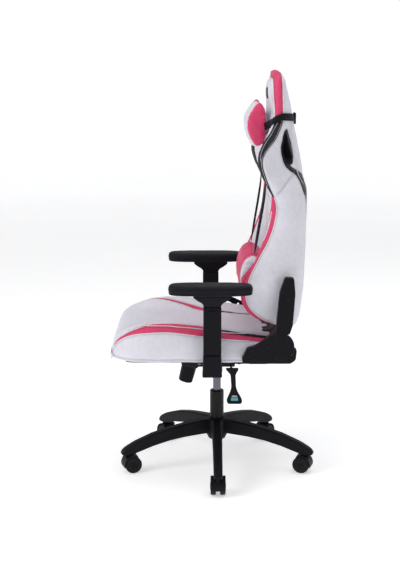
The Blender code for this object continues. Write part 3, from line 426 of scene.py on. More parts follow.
def store(obj, name, values):
    attribute = obj.data.attributes.get(name) or obj.data.attributes.new(name, "FLOAT", "POINT")
    attribute.data.foreach_set("value", np.asarray(values, np.float32))


def crumple(points, scale, seed):
    """Gentle unevenness in -1..1 at each point."""
    shift = Vector((seed * 7.3, seed * 3.1, seed * 5.7))
    return np.array([noise.fractal(Vector(p) * scale + shift, 0.9, 2.0, 3) for p in points])


def sew(obj, seams, crown, seed=1.0):
    """Sinks the surface along its seams, fills it out between them, and puckers it beside them."""
    points, ways = places(obj)
    shallow = np.exp(-(seams / 0.0042) ** 2)
    wide = np.exp(-seams / 0.016)
    pucker = crumple(points, 75.0, seed) * np.exp(-seams / 0.014) * 0.0011
    loose = crumple(points, 15.0, seed + 4) * 0.0013
    lift = crown * (1 - wide) - 0.0024 * shallow + pucker + loose
    move_to(obj, points + ways * lift[:, None])
    store(obj, "seam", seams)


# ---- surface lines: piping and stitches ----
class Surface:
    """Finds places on a finished piece by looking along an axis."""

    def __init__(self, obj):
        self.tree = BVHTree.FromObject(obj, bpy.context.evaluated_depsgraph_get())

    def hit(self, place, way):
        at, normal, _, _ = self.tree.ray_cast(Vector(place) + Vector((0, COLUMN_Y, 0)), Vector(way))
        if at is None:
            return None
        return np.array(at) - (0, COLUMN_Y, 0), np.array(normal)

    def side_line(self, line, side, far=0.45, spacing=0.004):
        """A line given as (y, z), laid on the side that faces +X or -X."""
        path = even(curve_through(line, 8), spacing)
        found = [self.hit((side * far, y, z), (-side, 0, 0)) for y, z in path]
        return [f for f in found if f is not None and f[0][0] * side > 0.02]

    def down_line(self, line, spacing=0.004):
        """A line given as (x, y), laid on the top."""
        found = [self.hit((x, y, 2.0), (0, 0, -1)) for x, y in even(curve_through(line, 8), spacing)]
        return [f for f in found if f is not None]

    def front_line(self, line, spacing=0.004, back=False):
        """A line given as (x, z), laid on the front, or on the back."""
        start, way = (1.0, (0, -1, 0)) if back else (-1.0, (0, 1, 0))
        found = [self.hit((x, start, z), way) for x, z in even(curve_through(line, 8), spacing)]
        return [f for f in found if f is not None]


def tube_rings(path, ways, radius, sides=8):
    """Rings of points round a path."""
    path, ways = np.asarray(path), np.asarray(ways)
    along = np.gradient(path, axis=0)
    along /= np.linalg.norm(along, axis=1)[:, None] + 1e-12
    across = np.cross(along, ways)
    across /= np.linalg.norm(across, axis=1)[:, None] + 1e-12
    up = np.cross(across, along)
    rings = []
    for k in range(sides):
        turn = 2 * math.pi * k / sides
        rings.append(path + (across * math.cos(turn) + up * math.sin(turn)) * radius)
    return np.stack(rings, axis=1)


def gather(name, bits, material):
    """One object from many (points, faces) bits."""
    points, faces, base = [], [], 0
    for bit_points, bit_faces in bits:
        points.append(np.asarray(bit_points))
        faces += [tuple(i + base for i in face) for face in bit_faces]
        base += len(bit_points)
    return piece(name, np.concatenate(points), faces, material)


def tube_bit(path, ways, radius, sides=8):
    rings = tube_rings(path, ways, radius, sides)
    return rings.reshape(-1, 3), ring_faces(len(rings), sides)


def eased(values, passes=3):
    """A path with its small jumps averaged out, its ends kept."""
    values = np.asarray(values, float).copy()
    for _ in range(passes):
        values[1:-1] = (values[:-2] + 2 * values[1:-1] + values[2:]) / 4
    return values


def piping(name, lines, body, radius=0.0015, lift=0.0006):
    """Raised piping laid along surface lines."""
    bits = []
    for line in lines:
        if len(line) > 3:
            at, way = eased([f[0] for f in line]), eased([f[1] for f in line])
            bits.append(tube_bit(at + way * lift, way, radius))
    obj = gather(name, bits, "piping")
    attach(obj, body)
    return obj


STITCH_LENGTH, STITCH_GAP = 0.004, 0.0022


def stitches(name, lines, body, radius=0.00055, lift=0.0002):
    """Single stitches along surface lines, each sinking at both ends."""
    bits = []
    for line in lines:
        if len(line) < 4:
            continue
        at, way = eased([f[0] for f in line]), eased([f[1] for f in line])
        both = even(np.concatenate([at, way], axis=1), (STITCH_LENGTH + STITCH_GAP) / 4)
        for k in range(0, len(both) - 4, 4):
            run = both[k:k + 4]
            dip = np.array([-0.0006, 0.0004, 0.0004, -0.0006])[:, None]
            bits.append(tube_bit(run[:, :3] + run[:, 3:] * (lift + dip), run[:, 3:], radius, 5))
    obj = gather(name, bits, "white_thread")
    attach(obj, body)
    return obj


# ---- backrest: a level section at each height, from the rear's middle to the front's ----
HALF_WIDTH = [(0.532, 0.165), (0.55, 0.2), (0.59, 0.228), (0.65, 0.24), (0.73, 0.2445), (0.806, 0.246),
              (0.877, 0.249), (0.95, 0.257), (1.0, 0.265), (1.05, 0.27), (1.09, 0.267), (1.13, 0.252),
              (1.17, 0.222), (1.21, 0.184), (1.245, 0.158), (1.29, 0.149), (1.34, 0.145), (1.368, 0.13),
              (1.381, 0.1)]
REAR = [(0.532, 0.25), (0.56, 0.272), (0.611, 0.2815), (0.715, 0.289), (0.871, 0.2925), (0.96, 0.295),
        (1.005, 0.2935), (1.046, 0.285), (1.11, 0.274), (1.193, 0.2565), (1.25, 0.244), (1.311, 0.23),
        (1.355, 0.219), (1.381, 0.208)]
EDGE_FRONT = [(0.532, 0.215), (0.552, 0.19), (0.582, 0.124), (0.624, 0.085), (0.66, 0.076), (0.731, 0.101),
              (0.806, 0.135), (0.877, 0.16), (0.94, 0.17), (0.985, 0.172), (1.025, 0.1545), (1.065, 0.136),
              (1.11, 0.1265), (1.15, 0.1375), (1.19, 0.16), (1.23, 0.18), (1.381, 0.183)]
CENTRE_FRONT = [(0.532, 0.21), (0.56, 0.198), (0.64, 0.186), (0.76, 0.182), (0.95, 0.18),
                (1.05, 0.172), (1.11, 0.166), (1.17, 0.168), (1.25, 0.172), (1.33, 0.169),
                (1.381, 0.186)]
WING_SWEEP = [(0.9, 0.0), (1.0, 0.25), (1.06, 1.0), (1.19, 1.0), (1.26, 0.15), (1.3, 0.0)]
BACK_LOW, BACK_HIGH, BACK_STEP = 0.532, 1.381, 0.0036
SECTION_STEPS = 13


def back_half(z):
    half, rear = smooth_table(HALF_WIDTH, z), smooth_table(REAR, z)
    edge, front = smooth_table(EDGE_FRONT, z), smooth_table(CENTRE_FRONT, z)
    sweep = smooth_table(WING_SWEEP, z)
    depth = rear - edge
    plain = [(0, rear), (0.4 * half, rear), (0.72 * half, rear - 0.04 * depth),
             (0.91 * half, rear - 0.2 * depth), (half, rear - 0.5 * depth),
             (0.995 * half, edge + 0.16 * depth), (0.94 * half, edge), (0.84 * half, edge + 0.12 * (front - edge)),
             (0.66 * half, front), (0.3 * half, front), (0, front)]
    winged = [(0, rear), (0.34 * half, rear - 0.02 * depth), (0.58 * half, rear - 0.16 * depth),
              (0.78 * half, rear - 0.44 * depth), (0.93 * half, rear - 0.74 * depth),
              (half, edge + 0.1 * depth), (0.97 * half, edge), (0.88 * half, edge + 0.05 * depth),
              (0.68 * half, front), (0.3 * half, front), (0, front)]
    return [(a[0] + (b[0] - a[0]) * sweep, a[1] + (b[1] - a[1]) * sweep) for a, b in zip(plain, winged)]


def full_section(half):
    loop = half + [(-x, y) for x, y in reversed(half[1:-1])]
    return curve_through(loop, SECTION_STEPS, closed=True)


SLOT_LEAN = math.radians(18)
SLOT_TILT = 0.34                        # how far the opening's upper half leans inward
SLOT_SIZE, SLOT_REACH = 1.02, 0.12      # the cut's size against the outline, and how far it runs fore and aft
LINER_BORE, LINER_RIM = 0.86, 0.0022    # the liner's inner size, and how far its rim stands out
SLOT_MIDDLE = (0.164, 0.19, 1.138)
SLOT_HALF = [(0.0, 0.056), (0.011, 0.026), (0.019, -0.004), (0.021, -0.026), (0.014, -0.044), (0.0, -0.05)]


def slot_outline(side, size, y):
    """The leaf-shaped outline of a harness opening, size times its real one, y along its own axis."""
    sign = SIDES[side]
    corners = SLOT_HALF + [(-x, z) for x, z in reversed(SLOT_HALF[1:-1])]
    turn = Matrix.Rotation(-sign * SLOT_LEAN, 3, "Z")
    middle = np.array((sign * SLOT_MIDDLE[0], SLOT_MIDDLE[1], SLOT_MIDDLE[2]))
    outline = curve_through(corners, 4, closed=True) * size
    return [middle + np.array(turn @ Vector((x - sign * SLOT_TILT * max(z, 0), y, z))) for x, z in outline]


def slot_cutter(side):
    """A smooth leaf-shaped bar through a harness opening."""
    ring = [slot_outline(side, SLOT_SIZE, y) for y in (-SLOT_REACH, SLOT_REACH)]
    cutter = piece(f"cutter_{side}", ring[0] + ring[1], ring_faces(2, len(ring[0])), "black_plastic")
    tidy_normals(cutter)
    return cutter


BEZELS = [name for name in NODES if "bezel" in name]

# Panel edges on the backrest's side, as (y, z).
HEAD_BAND_FRONT = [(0.179, 1.4), (0.1795, 1.38), (0.18, 1.3576), (0.1846, 1.261), (0.185, 1.226)]
HEAD_BAND_REAR = [(0.206, 1.4), (0.2065, 1.38), (0.2073, 1.3576), (0.2106, 1.261), (0.211, 1.226)]
SHOULDER_FRONT = [(0.185, 1.226), (0.1659, 1.1907), (0.133, 1.1518), (0.118, 1.1249), (0.117, 1.1032),
                  (0.125, 1.0719), (0.133, 1.0528), (0.148, 1.0236), (0.17, 0.9894)]
SHOULDER_REAR = [(0.211, 1.2269), (0.2019, 1.1996), (0.1811, 1.1634), (0.154, 1.134), (0.1409, 1.1096),
                 (0.1412, 1.0879), (0.1495, 1.0592), (0.163, 1.0236), (0.179, 0.9894)]
HOLE_BAND_UPPER = [(0.2321, 1.0842), (0.2518, 1.07), (0.272, 1.056), (0.285, 1.042), (0.299, 1.02),
                   (0.301, 0.97), (0.299, 0.89)]
HOLE_BAND_LOWER = [(0.2191, 1.0809), (0.2323, 1.0676), (0.252, 1.0529), (0.2654, 1.0321), (0.2757, 1.0027),
                   (0.2867, 0.9732), (0.293, 0.89)]
WING_BAND_FRONT = [(0.169, 0.99), (0.156, 0.9646), (0.156, 0.9316), (0.15, 0.8984), (0.14, 0.8588),
                   (0.12, 0.8156), (0.104, 0.7758), (0.088, 0.7424), (0.078, 0.7088), (0.056, 0.6592),
                   (0.064, 0.62), (0.095, 0.58), (0.135, 0.555), (0.195, 0.54)]
WING_BAND_REAR = [(0.1795, 0.9894), (0.1861, 0.9646), (0.1872, 0.9416), (0.1824, 0.9085), (0.1733, 0.872),
                  (0.1577, 0.8323), (0.1386, 0.7958), (0.1227, 0.7625), (0.1067, 0.729), (0.0985, 0.7055),
                  (0.09, 0.6613), (0.0981, 0.6299), (0.1184, 0.6017), (0.1455, 0.579), (0.1898, 0.5601)]
WING_INNER_LINE = [(y - 0.0155, z) for y, z in WING_BAND_REAR[2:10]]
HOLE_TRIM = [(0.2257, 1.075), (0.215, 1.0868), (0.2044, 1.12), (0.2028, 1.1456), (0.2098, 1.168),
             (0.224, 1.2), (0.2325, 1.176), (0.2442, 1.1333), (0.246, 1.1077), (0.2405, 1.091)]
SHOULDER_STITCHES = [(0.1915, 1.222), (0.1725, 1.19), (0.1475, 1.156), (0.1345, 1.128), (0.1335, 1.104)]
FLANK_CREASE = [(0.18, 0.993), (0.1998, 1.0101), (0.2223, 1.0352), (0.248, 1.056)]
BAND_WRAP = 0.885                       # the share of the half width down to which bands wrap over the front

# Panel edges on its front and back, as (x, z) for the left half.
FRONT_PANEL = [(0.09, 0.585), (0.108, 0.64), (0.118, 0.76), (0.12, 0.9), (0.114, 1.02), (0.104, 1.11),
               (0.096, 1.2), (0.088, 1.28), (0.076, 1.345)]
FRONT_STRIPE = 0.011
CHANNELS = [0.64 + 0.062 * k for k in range(8)]
REAR_PANEL = [(0.13, 0.56), (0.158, 0.64), (0.166, 0.8), (0.166, 0.95), (0.15, 1.06), (0.126, 1.17),
              (0.108, 1.25), (0.096, 1.345)]


def back_panels(points, ways):
    """Distances to the backrest's panels and seams, from its points and the way each of them faces."""
    x, z = np.abs(points[:, 0]), points[:, 2]
    half = column(HALF_WIDTH, z)
    side_view, front_view = points[:, 1:], np.stack([x, z], axis=1)
    on_front, on_rear = ways[:, 1] < -0.25, ways[:, 1] > 0.8
    wrap = np.where(on_front, (BAND_WRAP - x / half) * half, -1.0)
    head = outside(side_view, band(HEAD_BAND_FRONT, HEAD_BAND_REAR))
    wing = np.maximum(outside(side_view, band(WING_BAND_FRONT, WING_BAND_REAR)), wrap)
    shoulder = np.maximum(outside(side_view, band(SHOULDER_FRONT, SHOULDER_REAR)), wrap)
    rear_limit = np.interp(z, [0.9, 0.98, 1.05], [0.8, 0.5, 0.2]) * half
    hole = np.maximum(outside(side_view, band(HOLE_BAND_LOWER, HOLE_BAND_UPPER)), rear_limit - x)
    trim = np.where(on_front, 1.0, outside(side_view, curve_through(HOLE_TRIM, 5, closed=True)))
    panel_x = np.interp(z, [p[1] for p in FRONT_PANEL], [p[0] for p in FRONT_PANEL])
    middle = np.where(on_front & (z < 1.2), np.abs(x - panel_x + FRONT_STRIPE / 2) - FRONT_STRIPE / 2, 1.0)
    seams = [np.abs(head), np.abs(wing), np.abs(shoulder), np.abs(hole), np.abs(trim),
             np.where(on_front, 1.0, line_distance(side_view, curve_through(FLANK_CREASE, 6))),
             np.where(on_front, line_distance(front_view, curve_through(FRONT_PANEL, 6)), 1.0),
             np.where(on_rear, line_distance(front_view, curve_through(REAR_PANEL, 6)), 1.0)]
    for level in CHANNELS:
        seams.append(np.where(on_front & (x < panel_x - FRONT_STRIPE), np.abs(z - level), 1.0))
    return (np.minimum(np.minimum(head, wing), middle), np.minimum(np.minimum(shoulder, hole), trim),
            np.minimum.reduce(seams))


def make_slot_liner(back):
    """The hard liner of both harness openings, its rims standing just proud of the uncut cover."""
    points, ways = places(back)
    faces = [tuple(face.vertices) for face in back.data.polygons]
    grown = piece("grown", points + ways * LINER_RIM, faces, "black_plastic")
    corners = [(SLOT_SIZE, -SLOT_REACH), (SLOT_SIZE, SLOT_REACH)]
    corners += [(LINER_BORE, SLOT_REACH), (LINER_BORE, -SLOT_REACH)]
    bits = []
    for side in SIDES:
        loops = [slot_outline(side, size, y) for size, y in corners]
        count, total = len(loops[0]), 4 * len(loops[0])
        faces = []
        for start in range(0, total, count):
            for i in range(count):
                a, b = start + i, start + (i + 1) % count
                faces.append((a, b, (b + count) % total, (a + count) % total))
        bits.append((np.concatenate(loops), faces))
    liner = gather("slot_liner", bits, "black_plastic")
    tidy_normals(liner)
    change = liner.modifiers.new("trim", "BOOLEAN")
    change.operation, change.object, change.solver = "INTERSECT", grown, "EXACT"
    applied(liner)
    bpy.data.objects.remove(grown, do_unlink=True)
    recoat(liner, "black_plastic")
    liner.data.set_sharp_from_angle(angle=math.radians(40))
    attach(liner, "back")
    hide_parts(*BEZELS)


def make_backrest():
    """The backrest's cover: a loft through its sections, cut by the harness openings, then sewn."""
    heights = np.linspace(BACK_LOW, BACK_HIGH, int((BACK_HIGH - BACK_LOW) / BACK_STEP))
    rings = [[(x, y, z) for x, y in full_section(back_half(z))] for z in heights]
    back = skin("back_cover", rings, "panelled", caps=0.004)
    make_slot_liner(back)
    cutters = [slot_cutter(side) for side in SIDES]
    for cutter in cutters:
        change = back.modifiers.new("slot", "BOOLEAN")
        change.operation, change.object, change.solver = "DIFFERENCE", cutter, "EXACT"
    applied(back)
    for cutter in cutters:
        bpy.data.objects.remove(cutter, do_unlink=True)
    recoat(back, "panelled")
    points, ways = places(back)
    _, _, seams = back_panels(points, ways)
    sew(back, seams, 0.0022, seed=2.0)
    points, _ = places(back)
    pink, black, _ = back_panels(points, ways)
    store(back, "pink", pink)
    store(back, "black", black)
    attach(back, "back")
    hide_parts("backrest")
    return back


def dress_backrest(back):
    """Piping and stitches on the backrest's seams."""
    face = Surface(back)
    side_pipes = [(HEAD_BAND_FRONT[1:], -0.001), (HEAD_BAND_REAR[1:], 0.001), (WING_BAND_REAR, 0.0),
                  (WING_INNER_LINE, 0.0)]
    side_stitches = [(SHOULDER_REAR[:-1], -0.0045), (SHOULDER_STITCHES, 0.0), (WING_BAND_REAR[1:], 0.005),
                     (HEAD_BAND_REAR[1:], 0.006), (HEAD_BAND_FRONT[1:], -0.006)]
    pipes, white = [], []
    for sign in SIDES.values():
        for lines, found in ((side_pipes, pipes), (side_stitches, white)):
            for line, shift in lines:
                found.append(face.side_line([(y + shift, z) for y, z in line], sign))
        for line, back_face in ((FRONT_PANEL, False), (REAR_PANEL, True)):
            pipes.append(face.front_line([(x * sign, z) for x, z in line], back=back_face))
            white.append(face.front_line([((x + 0.006) * sign, z) for x, z in line], back=back_face))
        white.append(face.side_line([(y, z + 0.004) for y, z in FLANK_CREASE], sign))
    piping("back_piping", pipes, "back")
    stitches("back_stitches", white, "back")


# ---- seat cushion: an upright section at each place from front to rear ----
SEAT_FRONT, SEAT_REAR, SEAT_HALF = -0.358, 0.172, 0.255
BOLSTER_TOP = [(-0.359, 0.462), (-0.35, 0.49), (-0.333, 0.516), (-0.3, 0.537), (-0.245, 0.556),
               (-0.188, 0.564), (-0.097, 0.56), (-0.01, 0.548), (0.1, 0.53), (0.172, 0.52)]
CENTRE_TOP = [(-0.359, 0.462), (-0.35, 0.488), (-0.333, 0.51), (-0.3, 0.524), (-0.245, 0.53),
              (-0.188, 0.527), (-0.097, 0.518), (0.172, 0.506)]
SEAT_UNDER = [(-0.3605, 0.453), (-0.34, 0.444), (-0.3, 0.4395), (-0.226, 0.4375), (0.094, 0.4375),
              (0.1, 0.4422), (0.172, 0.4422)]
SEAT_WIDTH = [(-0.3605, 0.205), (-0.35, 0.225), (-0.32, 0.242), (-0.26, 0.252), (-0.15, SEAT_HALF),
              (0.08, SEAT_HALF), (0.172, 0.248)]


def seat_half(y):
    half, under = smooth_table(SEAT_WIDTH, y), smooth_table(SEAT_UNDER, y)
    crest, middle = smooth_table(BOLSTER_TOP, y), smooth_table(CENTRE_TOP, y)
    return [(0, under), (half * 0.93, under), (half, under + 0.012), (half, crest - 0.035),
            (half - 0.008, crest - 0.016), (half - 0.03, crest - 0.006), (half - 0.06, crest),
            (half - 0.085, crest - (crest - middle) * 0.3), (half - 0.12, crest - (crest - middle) * 0.85),
            (0.06, middle), (0, middle)]


# Edges of the main band on the seat's side as (y, z), and of the crest's and slope's stripes as (y, x).
SEAT_BAND_TOP = [(-0.364, 0.452), (-0.36, 0.468), (-0.3456, 0.4995), (-0.3246, 0.528), (-0.298, 0.543),
                 (-0.258, 0.552), (-0.19, 0.556), (-0.06, 0.547), (0.0235, 0.534), (0.105, 0.527),
                 (0.18, 0.52)]
SEAT_BAND_LOW = [(-0.36, 0.45), (-0.352, 0.472), (-0.331, 0.503), (-0.291, 0.5255), (-0.225, 0.537),
                 (-0.159, 0.539), (-0.06, 0.527), (0.0226, 0.517), (0.105, 0.51), (0.18, 0.503)]
SEAT_BAND_FOOT = 0.468                  # the band fades out at this height, above the seat's front tip
CREST_IN, CREST_OUT = 0.045, 0.0285      # the crest stripe's edges, inward from the seat's side
SLOPE_STRIPE = [(-0.3, 0.203, 0.0002), (-0.2436, 0.199, 0.0022), (-0.15, 0.176, 0.004),
                (-0.06, 0.153, 0.006), (0.0, 0.15, 0.0058), (0.012, 0.149, 0.0032), (0.172, 0.14, 0.003)]
CREST_START = -0.31                    # the crest stripe starts behind this place
CREST_PLACES = (-0.24, -0.15, -0.06, 0.03, 0.16)
BLACK_FROM = 0.004                      # behind this place the two thin stripes are black


def seat_panels(points):
    x, y, z = np.abs(points[:, 0]), points[:, 1], points[:, 2]
    half, crest, under = column(SEAT_WIDTH, y), column(BOLSTER_TOP, y), column(SEAT_UNDER, y)
    inboard = half - 0.03 - x
    main = outside(points[:, 1:], band(SEAT_BAND_TOP, SEAT_BAND_LOW))
    main = np.maximum(main, np.maximum(inboard, SEAT_BAND_FOOT - z))
    top = (z > under + 0.45 * (crest - under)) & (y > -0.345)
    in_edge = np.interp(y, [-0.33, -0.29, -0.24], [CREST_OUT, 0.037, CREST_IN])
    crest_stripe = np.maximum(half - in_edge - x, x - half + CREST_OUT)
    crest_stripe = np.where(top, np.maximum(crest_stripe, CREST_START - y), 1.0)
    rows = np.array(SLOPE_STRIPE)
    slope_x, slope_w = np.interp(y, rows[:, 0], rows[:, 1]), np.interp(y, rows[:, 0], rows[:, 2])
    slope = np.where(top & (y > -0.3), np.abs(x - slope_x) - slope_w, 1.0)
    thin = np.minimum(crest_stripe, slope)
    pink = np.minimum(main, np.maximum(thin, y - BLACK_FROM))
    black = np.maximum(thin, BLACK_FROM - y)
    seams = [np.abs(main), np.abs(crest_stripe), np.abs(slope),
             np.where((z < under + 0.008) | (y < -0.358), 1.0, np.abs(z - under - 0.009))]
    return pink, black, np.minimum.reduce(seams)


def make_seat():
    """The seat's cover: a loft from front to rear, sewn on every side but its flat underside."""
    rows = np.linspace(SEAT_FRONT, SEAT_REAR, 170)
    rings = [[(x, y, z) for x, z in full_section(seat_half(y))] for y in rows]
    seat = skin("seat_cover", rings, "panelled", caps=0.002, cap_axis=1)
    points, _ = places(seat)
    under = points[:, 2] < column(SEAT_UNDER, points[:, 1]) + 0.002
    _, _, seams = seat_panels(points)
    flat = points[under].copy()
    sew(seat, seams, 0.0024, seed=5.0)
    points, _ = places(seat)
    points[under] = flat
    move_to(seat, points)
    pink, black, _ = seat_panels(points)
    store(seat, "pink", pink)
    store(seat, "black", black)
    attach(seat, "seat")
    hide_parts("seat_cushion")
    return seat


def dress_seat(seat):
    """Piping and stitches along the seat's bands."""
    face = Surface(seat)
    pipes, white = [], []
    for sign in SIDES.values():
        pipes.append(face.side_line(SEAT_BAND_TOP[2:-1], sign))
        pipes.append(face.side_line(SEAT_BAND_LOW[1:-1], sign))
        edge = [(sign * (smooth_table(SEAT_WIDTH, y) - CREST_IN), y) for y in CREST_PLACES]
        pipes.append(face.down_line(edge))
        white.append(face.side_line([(y, z - 0.006) for y, z in SEAT_BAND_LOW[2:-1]], sign))
        white.append(face.down_line([(x - sign * 0.006, y) for x, y in edge]))
        white.append(face.down_line([(sign * (x - w - 0.005), y) for y, x, w in SLOPE_STRIPE[1:]]))
    piping("seat_piping", pipes, "seat")
    stitches("seat_stitches", white, "seat")


# ---- pillows: a section (y, z) swept along X, then filled out as cloth under pressure ----
HEAD_SECTION = [(0.138, 1.286), (0.115, 1.26), (0.1, 1.23), (0.0975, 1.208), (0.105, 1.176),
                (0.128, 1.142), (0.146, 1.148), (0.154, 1.18), (0.1575, 1.215), (0.154, 1.25)]
LUMBAR_SECTION = [(0.118, 0.787), (0.089, 0.77), (0.074, 0.735), (0.071, 0.7), (0.078, 0.66),
                  (0.1, 0.626), (0.13, 0.621), (0.154, 0.642), (0.163, 0.7), (0.154, 0.758)]
PILLOWS = {
    "head": {"section": HEAD_SECTION, "middle": (0.1270, 1.2150), "half": 0.131, "pinch": 0.04,
             "replaces": "head_pillow", "cap": 0.006, "end_seam": 0.112, "rim_seam": 0.100,
             "sag": (-0.003, -0.010)},
    "lumbar": {"section": LUMBAR_SECTION, "middle": (0.1180, 0.7030), "half": 0.146, "pinch": 0.18,
               "replaces": "lumbar_pillow", "cap": 0.006, "end_seam": 0.130, "rim_seam": 0.138,
               "sag": (0, 0)},
}
VOXEL, CLOTH_PRESSURE, CLOTH_FRAMES = 0.005, 4.0, 20


def remesh(obj, size):
    change = obj.modifiers.new("voxels", "REMESH")
    change.mode, change.voxel_size, change.use_smooth_shade = "VOXEL", size, True
    return applied(obj)


def inflate(obj, cap):
    """Runs the cloth under pressure, and holds each point within cap of where it was."""
    rest, _ = places(obj)
    cloth = obj.modifiers.new("cloth", "CLOTH")
    settings = cloth.settings
    settings.use_pressure = True
    settings.uniform_pressure_force = CLOTH_PRESSURE
    settings.effector_weights.gravity = 0
    settings.quality = 5
    settings.tension_stiffness = settings.compression_stiffness = 20
    settings.bending_stiffness = 2.0
    scene = bpy.context.scene
    for step in range(1, CLOTH_FRAMES + 1):
        scene.frame_set(step)
    swollen = bpy.data.meshes.new_from_object(obj.evaluated_get(bpy.context.evaluated_depsgraph_get()))
    moved = np.zeros(len(swollen.vertices) * 3)
    swollen.vertices.foreach_get("co", moved)
    obj.modifiers.clear()
    scene.frame_set(1)
    shift = moved.reshape(-1, 3) - (0, COLUMN_Y, 0) - rest
    size = np.linalg.norm(shift, axis=1)[:, None]
    move_to(obj, rest + shift * np.minimum(1, cap / np.maximum(size, 1e-9)))
    bpy.data.meshes.remove(swollen)


LUMBAR_STRIPE = [(0.06, 0.668), (0.082, 0.706), (0.118, 0.752), (0.128, 0.744), (0.094, 0.694),
                 (0.075, 0.655)]


def end_seam(facts, out):
    """How far along X the seam round a pillow's end lies, at a distance out from the pillow's middle line."""
    return facts["end_seam"] + (facts["rim_seam"] - facts["end_seam"]) * np.clip((out - 0.030) / 0.05, 0, 1)


def pillow_panels(kind, points):
    """Distances to a pillow's end seams, and its pink part."""
    facts = PILLOWS[kind]
    out = np.linalg.norm(points[:, 1:] - np.array(facts["middle"]), axis=1)
    end = np.abs(points[:, 0]) - end_seam(facts, out)
    if kind == "head":
        return -end, np.abs(end)
    diagonal = outside(points[:, 1:], LUMBAR_STRIPE)
    return np.minimum(end, diagonal), np.minimum(np.abs(end), np.where(end > -0.004, np.abs(diagonal), 1.0))


def make_pillow(kind):
    """A pillow swept along X, filled out as cloth, then sewn round its ends."""
    facts = PILLOWS[kind]
    middle, half = np.array(facts["middle"]), facts["half"]
    loop = curve_through(facts["section"], 6, closed=True)
    rings = []
    for share in np.sin(np.linspace(-math.pi / 2, math.pi / 2, 60)):
        size = 1 - facts["pinch"] * abs(share) ** 6
        sag = np.array(facts["sag"]) * (1 - share ** 2)
        rings.append([(share * half, *(middle + sag + (point - middle) * size)) for point in loop])
    pillow = skin(f"{kind}_pillow_cover", rings, "panelled", caps=0.003, cap_axis=0)
    remesh(pillow, VOXEL)
    inflate(pillow, facts["cap"])
    finer = pillow.modifiers.new("finer", "SUBSURF")
    finer.levels = finer.render_levels = 1
    applied(pillow)
    recoat(pillow, "panelled")
    points, ways = places(pillow)
    _, seams = pillow_panels(kind, points)
    flutes = np.sin((points[:, 2] - middle[1]) * 2 * math.pi / 0.017 + 3 * crumple(points, 20.0, 3.0))
    near_end = np.clip((np.abs(points[:, 0]) - facts["end_seam"] - 0.004) / 0.008, 0, 1)
    rim = np.clip((np.linalg.norm(points[:, 1:] - middle, axis=1) - 0.012) / 0.02, 0, 1)
    pull = near_end * rim * flutes * 0.0009
    lift = 0.0012 * (1 - np.exp(-seams / 0.012)) - 0.0022 * np.exp(-(seams / 0.0042) ** 2) + pull
    lift += crumple(points, 24.0, 8.0) * 0.0016
    move_to(pillow, points + ways * lift[:, None])
    points, _ = places(pillow)
    pink, seams = pillow_panels(kind, points)
    store(pillow, "pink", pink)
    store(pillow, "black", np.full(len(points), 1.0))
    store(pillow, "seam", seams)
    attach(pillow, "back")
    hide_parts(facts["replaces"])
    return pillow


def dress_pillow(kind, pillow):
    """Piping round both ends, with stitches inside it."""
    facts, face = PILLOWS[kind], Surface(pillow)
    middle, pipes, white = np.array(facts["middle"]), [], []
    loop = curve_through(facts["section"], 10, closed=True)
    for sign in SIDES.values():
        for offset, lines in ((0.0, pipes), (-0.006, white)):
            line = []
            for point in np.concatenate([loop, loop[:1]]):
                out = np.linalg.norm(point - middle)
                seam_x = end_seam(facts, out) + offset
                start = (sign * seam_x, *(middle + (point - middle) * 1.6))
                found = face.hit(start, (0, *((middle - point) / max(out, 1e-6))))
                if found is not None:
                    line.append(found)
            lines.append(line)
    piping(f"{kind}_pillow_piping", pipes, "back", radius=0.0017)
    stitches(f"{kind}_pillow_stitches", white, "back")


# ---- straps ----
def strap(name, rows, width, thickness, body, replaced):
    """A flat woven band through rows of (place, direction across, outward), with its UV map in metres."""
    rows = np.array([[*p, *a, *o] for p, a, o in rows], float)
    path = even(curve_through(rows, 10), 0.004)
    middle, across, outward = path[:, :3], path[:, 3:6], path[:, 6:]
    across /= np.linalg.norm(across, axis=1)[:, None]
    outward /= np.linalg.norm(outward, axis=1)[:, None]
    run = np.concatenate([[0], np.cumsum(np.linalg.norm(np.diff(middle, axis=0), axis=1))])
    profile = [(-0.5, -0.35), (-0.47, -0.5), (0, -0.5), (0.47, -0.5), (0.5, -0.35), (0.5, 0.35), (0.47, 0.5),
               (0, 0.42), (-0.47, 0.5), (-0.5, 0.35)]
    sides = len(profile)
    points = np.stack([middle + across * (a * width) + outward * (b * thickness) for a, b in profile], axis=1)
    obj = piece(name, points.reshape(-1, 3), ring_faces(len(points), sides), "black_webbing")
    uv = obj.data.uv_layers.new(name="strap")
    for loop in obj.data.loops:
        row, side = divmod(loop.vertex_index, sides)
        uv.data[loop.index].uv = (profile[side][0] * width, run[row])
    tidy_normals(obj)
    obj.data.set_sharp_from_angle(angle=math.radians(50))
    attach(obj, body)
    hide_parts(replaced)
    return obj


